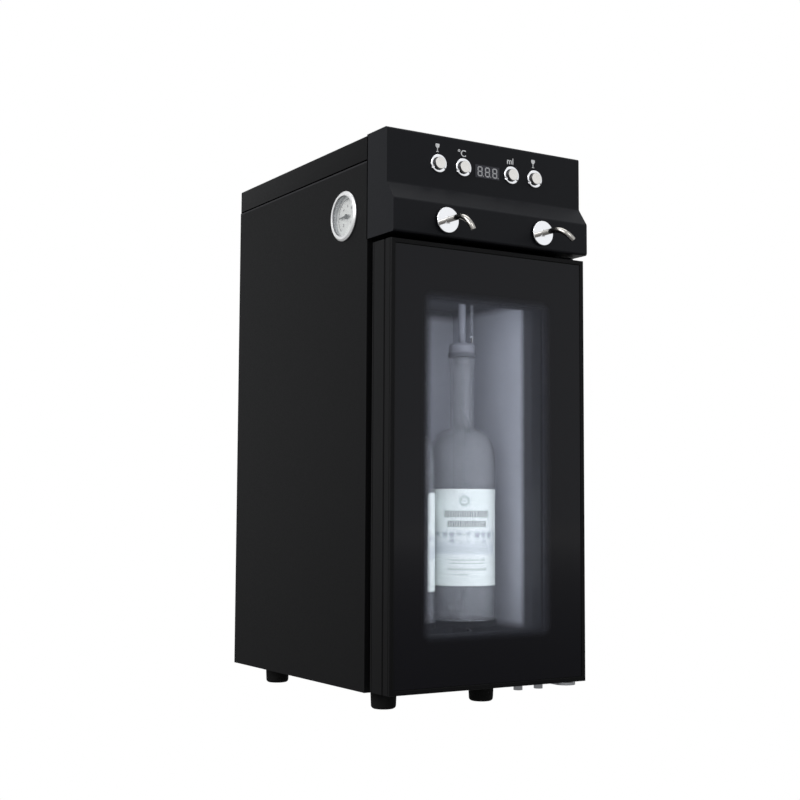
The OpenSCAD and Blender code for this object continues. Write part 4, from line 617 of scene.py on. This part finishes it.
def labelMaterial():
    # uncoated off-white paper with a ring, two broken bars, a band of discs over fine strokes, and thin rules
    material, tree, shader = surface("printedLabelPaper", prints["paper"], 0.75, grainMm=0.6,
                                     grainDepthMm=0.02, cloudMm=25, cloud=0.04, specular=0.2)
    uv = addNode(tree, "ShaderNodeUVMap", uv_map="UVMap")
    split = addNode(tree, "ShaderNodeSeparateXYZ", links={0: uv.outputs[0]})
    across, upward = split.outputs["X"], split.outputs["Y"]
    tone = baseTone(shader)

    def overlap(*masks):    # where all masks hold
        result = masks[0]
        for mask in masks[1:]:
            both = addNode(tree, "ShaderNodeMath", links={0: result, 1: mask}, operation='MULTIPLY')
            result = both.outputs[0]
        return result

    def strip(socket, low, high, soft=0.004):    # 1 between two values, 0 outside
        rise = addNode(tree, "ShaderNodeMapRange", {"From Min": low - soft, "From Max": low + soft},
                       {"Value": socket})
        fall = addNode(tree, "ShaderNodeMapRange", {"From Min": high - soft, "From Max": high + soft,
                                                    "To Min": 1.0, "To Max": 0.0}, {"Value": socket})
        return overlap(rise.outputs[0], fall.outputs[0])

    def ink(tone, mask, colour, share):
        amount = addNode(tree, "ShaderNodeMath", {1: share}, {0: mask}, operation='MULTIPLY')
        return addNode(tree, "ShaderNodeMix", {7: linear(colour)}, {0: amount.outputs[0], 6: tone},
                       data_type='RGBA').outputs[2]

    def waves(scale, direction, distortion=0.0):
        wave = addNode(tree, "ShaderNodeTexWave",
                       {"Scale": scale, "Distortion": distortion, "Detail Scale": 2.0},
                       {"Vector": uv.outputs[0]}, wave_type='BANDS', bands_direction=direction,
                       wave_profile='SIN')
        return addNode(tree, "ShaderNodeMapRange", {"From Min": 0.35, "From Max": 0.65},
                       {"Value": wave.outputs[0]}).outputs[0]

    # band: discs above, fine slanting strokes below
    cells = addNode(tree, "ShaderNodeMapping", {"Scale": prints["discCells"]}, {"Vector": uv.outputs[0]})
    discs = addNode(tree, "ShaderNodeTexVoronoi", {"Scale": 1.0, "Randomness": 0.25, "Smoothness": 0.3},
                    {"Vector": cells.outputs[0]}, feature='SMOOTH_F1')
    grouped = addNode(tree, "ShaderNodeMapRange",
                      {"From Min": 0.25, "From Max": 0.5, "To Min": 1.0, "To Max": 0.15},
                      {"Value": discs.outputs["Distance"]})
    wide = strip(across, *prints["wide"], 0.012)
    tone = ink(tone, overlap(strip(upward, *prints["discRow"], 0.02), wide, grouped.outputs[0]),
               prints["discs"], 0.75)
    tone = ink(tone, overlap(strip(upward, *prints["groundRow"], 0.01), wide), prints["ground"], 0.6)
    tone = ink(tone, overlap(strip(upward, *prints["strokeRow"], 0.02), wide, waves(16.0, 'DIAGONAL')),
               prints["strokes"], 0.4)
    strokes = waves(17.0, 'X', 3.0)
    for low, high, left, right, share, broken in prints["bars"]:
        mask = overlap(strip(upward, low, high), strip(across, left, right))
        tone = ink(tone, overlap(mask, strokes) if broken else mask, prints["ink"], share)
    # ring ornament near the top, round on the curved paper
    offset = addNode(tree, "ShaderNodeVectorMath", {1: prints["ringAt"]}, {0: uv.outputs[0]},
                     operation='SUBTRACT')
    flat = addNode(tree, "ShaderNodeVectorMath", {1: prints["ringScale"]}, {0: offset.outputs[0]},
                   operation='MULTIPLY')
    away = addNode(tree, "ShaderNodeVectorMath", links={0: flat.outputs[0]}, operation='LENGTH')
    reach = away.outputs["Value"]
    tone = ink(tone, strip(reach, *prints["ring"], 0.008), prints["rings"], 0.8)
    tone = ink(tone, strip(reach, *prints["dot"], 0.006), prints["rings"], 0.7)
    tree.links.new(tone, shader.inputs["Base Color"])
    return material


labelPaper = labelMaterial()


def makeLabel(side, name, drop, turn):
    low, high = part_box("bottle_" + side)
    centre = (low + high)/2
    radius = (high.x - low.x)/2 + label["gap"]
    height = label["high"] - label["low"]
    bpy.ops.mesh.primitive_cylinder_add(vertices=label["segments"], radius=radius, depth=height,
                                        end_fill_type='NOTHING', calc_uvs=True,
                                        location=(centre.x, centre.y, low.z + label["low"] + height/2 - drop))
    piece = bpy.context.active_object
    piece.name = name
    facing = math.radians(turn)
    front = Vector((math.sin(facing), -math.cos(facing), 0))
    deleteFaces(piece, lambda face: face.normal.angle(front) > math.radians(label["halfArc"]))
    settle(piece)
    # the print follows the paper: across by angle round the bottle, up by height
    layer = piece.data.uv_layers.active or piece.data.uv_layers.new(name="UVMap")
    layer.name = "UVMap"
    base = min(v.co.z for v in piece.data.vertices)
    for loop in piece.data.loops:
        point = piece.data.vertices[loop.vertex_index].co
        angle = math.degrees(math.atan2(point.x - centre.x, -(point.y - centre.y))) - turn
        angle = (angle + 180) % 360 - 180
        layer.data[loop.index].uv = (0.5 + angle/(2*label["halfArc"]), (point.z - base)/height)
    applyModifier(piece, "paper", 'SOLIDIFY', thickness=label["paper"], offset=1)
    smoothBelow(piece)
    dress(piece, labelPaper, "lift_" + side)


makeLabel("left", "labelLeft", label["leftDrop"], label["leftTurn"])
makeLabel("right", "labelRight", 0.0, label["turn"])
print("stage 5: labels")


# ferrules where the gas lines enter the stopper holders

ferrule = {"radius": 0.0026, "length": 0.008, "sides": 48, "bead": 0.0004, "beadSteps": 3, "aside": 0.008,
           "seated": 0.005}
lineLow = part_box("gas_lines")[0]


def makeFerrule(side, name):
    axis = boxCentre("bottle_" + side)
    bpy.ops.mesh.primitive_cylinder_add(vertices=ferrule["sides"], radius=ferrule["radius"],
                                        depth=ferrule["length"],
                                        location=(axis.x + ferrule["aside"], axis.y - ferrule["aside"],
                                                  lineLow.z + ferrule["seated"] + ferrule["length"]/2))
    piece = bpy.context.active_object
    piece.name = name
    settle(piece)
    applyModifier(piece, "roundedEnds", 'BEVEL', width=ferrule["bead"], segments=ferrule["beadSteps"],
                  limit_method='ANGLE')
    smoothBelow(piece)
    dress(piece, mirrorChrome, "cabinet")


makeFerrule("left", "ferruleLeft")
makeFerrule("right", "ferruleRight")


# print on the control head

head = {"lensProud": 0.0004, "printSink": 0.00003}
lensLow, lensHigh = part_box("display_lens")
faceY = lensLow.y + head["lensProud"]    # front of the fascia's upper face
# each step down the goblet: its width as a share of the bowl's, and its drop
glassIcon = {"x": 0.0628, "aside": -0.0012, "top": 0.5903, "bowlW": 0.0046, "rim": 0.0002, "thick": 0.00012,
             "steps": [(1.12, 0.0011), (1.04, 0.0015), (0.62, 0.0013), (0.20, 0.0008), (0.17, 0.0031),
                       (0.70, 0.0005), (0.74, 0.0004)]}


def makeGlassIcon(x, name):
    # a goblet: a thin rim strip whose lower edge is extruded down and drawn in or out, to stem and foot
    icon = glassIcon
    bpy.ops.mesh.primitive_plane_add(size=1, location=(0, 0, 0))
    piece = bpy.context.active_object
    piece.name = name
    soloSelect(piece)
    bpy.ops.object.mode_set(mode='EDIT')
    bpy.ops.mesh.select_all(action='SELECT')
    bpy.ops.transform.resize(value=(icon["bowlW"], icon["rim"], 1))
    bpy.ops.object.mode_set(mode='OBJECT')
    width = icon["bowlW"]
    for share, drop in icon["steps"]:
        lowest = min(v.co.y for v in piece.data.vertices)
        for vertex in piece.data.vertices:
            vertex.select = abs(vertex.co.y - lowest) < same
        for edge in piece.data.edges:
            edge.select = all(piece.data.vertices[i].select for i in edge.vertices)
        for face in piece.data.polygons:
            face.select = False
        bpy.ops.object.mode_set(mode='EDIT')
        bpy.ops.mesh.select_mode(type='EDGE')
        bpy.ops.mesh.extrude_region_move(TRANSFORM_OT_translate={"value": (0, -drop, 0)})
        current = share*icon["bowlW"]
        bpy.ops.transform.resize(value=(current/width, 1, 1))
        width = current
        bpy.ops.object.mode_set(mode='OBJECT')
    applyModifier(piece, "ink", 'SOLIDIFY', thickness=icon["thick"])
    top = max(v.co.y for v in piece.data.vertices)
    piece.rotation_euler = (math.radians(90), 0, 0)
    piece.location = (x, faceY - icon["thick"]/2, icon["top"] - top)
    settle(piece)
    dress(piece, printWhite, "cabinet")


makeGlassIcon(-glassIcon["x"] + glassIcon["aside"], "glassIconLeft")
makeGlassIcon(glassIcon["x"] + glassIcon["aside"], "glassIconRight")


def makeText(words, name, size, place, material, turn=(90, 0, 0), thick=0.00006, bold=0.0):
    bpy.ops.object.text_add(location=(0, 0, 0))
    piece = bpy.context.active_object
    piece.name = name
    piece.data.body = words
    piece.data.size = size
    piece.data.align_x = 'CENTER'
    piece.data.align_y = 'CENTER'
    piece.data.extrude = thick
    piece.data.offset = bold
    piece.data.resolution_u = 4
    soloSelect(piece)
    bpy.ops.object.convert(target='MESH')
    piece = bpy.context.active_object
    piece.rotation_euler = tuple(math.radians(a) for a in turn)
    piece.location = place
    settle(piece)
    dress(piece, material, "cabinet")


units = {
    "unitDegrees": {"words": "°C", "size": 0.0100, "x": -0.0331, "z": 0.5839, "bold": 0.00012},
    "unitVolume": {"words": "ml", "size": 0.0094, "x": 0.0305, "z": 0.5842, "bold": 0.00014},
}
for unitName, unit in units.items():
    makeText(unit["words"], unitName, unit["size"], (unit["x"], faceY - head["printSink"], unit["z"]),
             printWhite, bold=unit["bold"])

# three unlit seven-segment figures behind the smoked window, drawn on its face
digit = {"pitch": 0.0097, "width": 0.0064, "height": 0.0108, "bar": 0.0013, "thick": 0.00008, "dot": 0.0012,
         "fill": 0.92, "point": 0.45, "dotAside": 0.0017}


def makeSegment(length, upright, place):
    bpy.ops.mesh.primitive_cube_add(size=1, location=(0, 0, 0))
    piece = bpy.context.active_object
    piece.scale = (length, digit["thick"], digit["bar"])
    settle(piece)
    bpy.ops.object.mode_set(mode='EDIT')
    bpy.ops.mesh.select_mode(type='EDGE')
    bpy.ops.mesh.select_all(action='DESELECT')
    bpy.ops.object.mode_set(mode='OBJECT')
    for edge in piece.data.edges:
        a, b = (piece.data.vertices[i].co for i in edge.vertices)
        edge.select = abs(a.x - b.x) < same and abs(a.z - b.z) < same
    bpy.ops.object.mode_set(mode='EDIT')
    bpy.ops.mesh.bevel(offset=digit["bar"]*digit["point"], segments=1, affect='EDGES')
    bpy.ops.object.mode_set(mode='OBJECT')
    if upright:
        piece.rotation_euler = (0, math.radians(90), 0)
    piece.location = place
    return settle(piece)


segments = []
lensZ = (lensLow.z + lensHigh.z)/2
barY = lensLow.y - digit["thick"]/2
reach = digit["width"] - digit["bar"]
rise = digit["height"]/2
swing = rise - digit["bar"]/2    # from the middle bar to the top and bottom ones
for n in (-1, 0, 1):
    x0 = n*digit["pitch"]
    for k in (-1, 0, 1):
        segments.append(makeSegment(reach*digit["fill"], False, (x0, barY, lensZ + k*swing)))
    for s in (-1, 1):
        for k in (-1, 1):
            place = (x0 + s*reach/2, barY, lensZ + k*swing/2)
            segments.append(makeSegment(swing*digit["fill"], True, place))
    place = (x0 + reach/2 + digit["dotAside"], barY, lensZ - rise + digit["dot"]/2)
    segments.append(makeSegment(digit["dot"], False, place))
figures = joinPieces(segments, "displayFigures")
dress(figures, segmentGrey, "cabinet")
print("stage 6: print on the head")


# gauge print

gauge = {"scaleR": 0.0165, "tick": 0.0028, "tickW": 0.0005, "minorLength": 0.55, "minorWidth": 0.7,
         "arcW": 0.0006, "arcSteps": 72, "arcWeld": 0.00001, "numberR": 0.0118, "numberSize": 0.0052,
         "numberThick": 0.00003, "sweep": 270, "start": -135, "steps": 30, "perNumber": 5,
         "ink": 0.00006}
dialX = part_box("gauge_dial")[0].x
gaugeCentre = boxCentre("gauge_bezel")


def dialPoint(angle, radius):    # angle clockwise from the top, seen from outside (from -X)
    a = math.radians(angle)
    return Vector((dialX - gauge["ink"]/2, gaugeCentre.y - radius*math.sin(a),
                   gaugeCentre.z + radius*math.cos(a)))


marks = []
for i in range(gauge["steps"] + 1):
    angle = gauge["start"] + gauge["sweep"]*i/gauge["steps"]
    major = i % gauge["perNumber"] == 0
    length = gauge["tick"]*(1.0 if major else gauge["minorLength"])
    bpy.ops.mesh.primitive_cube_add(size=1, location=(0, 0, 0))
    mark = bpy.context.active_object
    mark.scale = (gauge["ink"], gauge["tickW"]*(1.0 if major else gauge["minorWidth"]), length)
    settle(mark)
    mark.rotation_euler = (math.radians(angle), 0, 0)
    mark.location = dialPoint(angle, gauge["scaleR"] + gauge["tick"] - length/2)
    marks.append(settle(mark))
# the scale's arc: a thin ring spun from a short edge
bpy.ops.mesh.primitive_plane_add(size=1, location=(0, 0, 0))
arc = bpy.context.active_object
arc.name = "scaleArc"
soloSelect(arc)
bpy.ops.object.mode_set(mode='EDIT')
bpy.ops.mesh.select_all(action='SELECT')
bpy.ops.mesh.delete(type='ONLY_FACE')
bpy.ops.object.mode_set(mode='OBJECT')
for vertex in arc.data.vertices:
    inner = vertex.co.x < 0
    vertex.co = (0, 0, gauge["scaleR"] + gauge["tick"] + (0 if inner else gauge["arcW"]))
bpy.ops.object.mode_set(mode='EDIT')
bpy.ops.mesh.select_all(action='SELECT')
bpy.ops.mesh.remove_doubles(threshold=gauge["arcWeld"])
bpy.ops.mesh.select_all(action='SELECT')
bpy.ops.transform.rotate(value=math.radians(gauge["start"]), orient_axis='X', center_override=(0, 0, 0))
bpy.ops.mesh.select_all(action='SELECT')
bpy.ops.mesh.spin(steps=gauge["arcSteps"], angle=math.radians(gauge["sweep"]), center=(0, 0, 0),
                  axis=(1, 0, 0))
bpy.ops.object.mode_set(mode='OBJECT')
applyModifier(arc, "ink", 'SOLIDIFY', thickness=gauge["ink"])
arc.location = (dialX - gauge["ink"]/2, gaugeCentre.y, gaugeCentre.z)
settle(arc)
marks.append(arc)
scale = joinPieces(marks, "gaugeScale")
dress(scale, printBlack, "cabinet")
numbers = ("0", "2", "4", "6", "8", "10", "12")
for i, number in enumerate(numbers):
    angle = gauge["start"] + gauge["sweep"]*i/(len(numbers) - 1)
    makeText(number, "gaugeNumber" + number, gauge["numberSize"], dialPoint(angle, gauge["numberR"]),
             printBlack, turn=(90, 0, -90), thick=gauge["numberThick"])
print("stage 7: gauge")


# lamps of the bay

bay = {
    "light": "#F2F6FF", "ledLight": "#E9F0FF",
    "led": {"power": 0.05, "size": (0.15, 0.012), "behind": 0.012, "below": 0.008, "aim": 0.15},
    "strip": {"power": 0.05, "size": (0.047, 0.35), "aside": 0.0735, "inside": 0.004},
    "mouth": {"power": 0.73, "size": (0.16, 0.36), "before": 0.009, "raised": 0.005},
}
ledCentre = boxCentre("led_bar")
bayMiddle = (linerLow.z + linerHigh.z)/2
lamp = bay["led"]
softBox("bayLamp", (0, ledCentre.y + lamp["behind"], ledCentre.z - lamp["below"]),
        (0, linerHigh.y, lamp["aim"]), lamp["size"], lamp["power"], bay["ledLight"])
lamp = bay["strip"]
softBox("stripLamp", (lamp["aside"], linerLow.y + lamp["inside"], bayMiddle),
        (lamp["aside"], linerHigh.y, bayMiddle), lamp["size"], lamp["power"], bay["light"])
# a broad fill at the bay's mouth, kept out of the polished faces
lamp = bay["mouth"]
fill = softBox("mouthLamp", (0, linerLow.y - lamp["before"], bayMiddle + lamp["raised"]),
               (0, linerHigh.y, bayMiddle + lamp["raised"]), lamp["size"], lamp["power"], bay["light"])
fill.visible_glossy = False
print("stage 8: bay lamps")

print("stage 9: done")
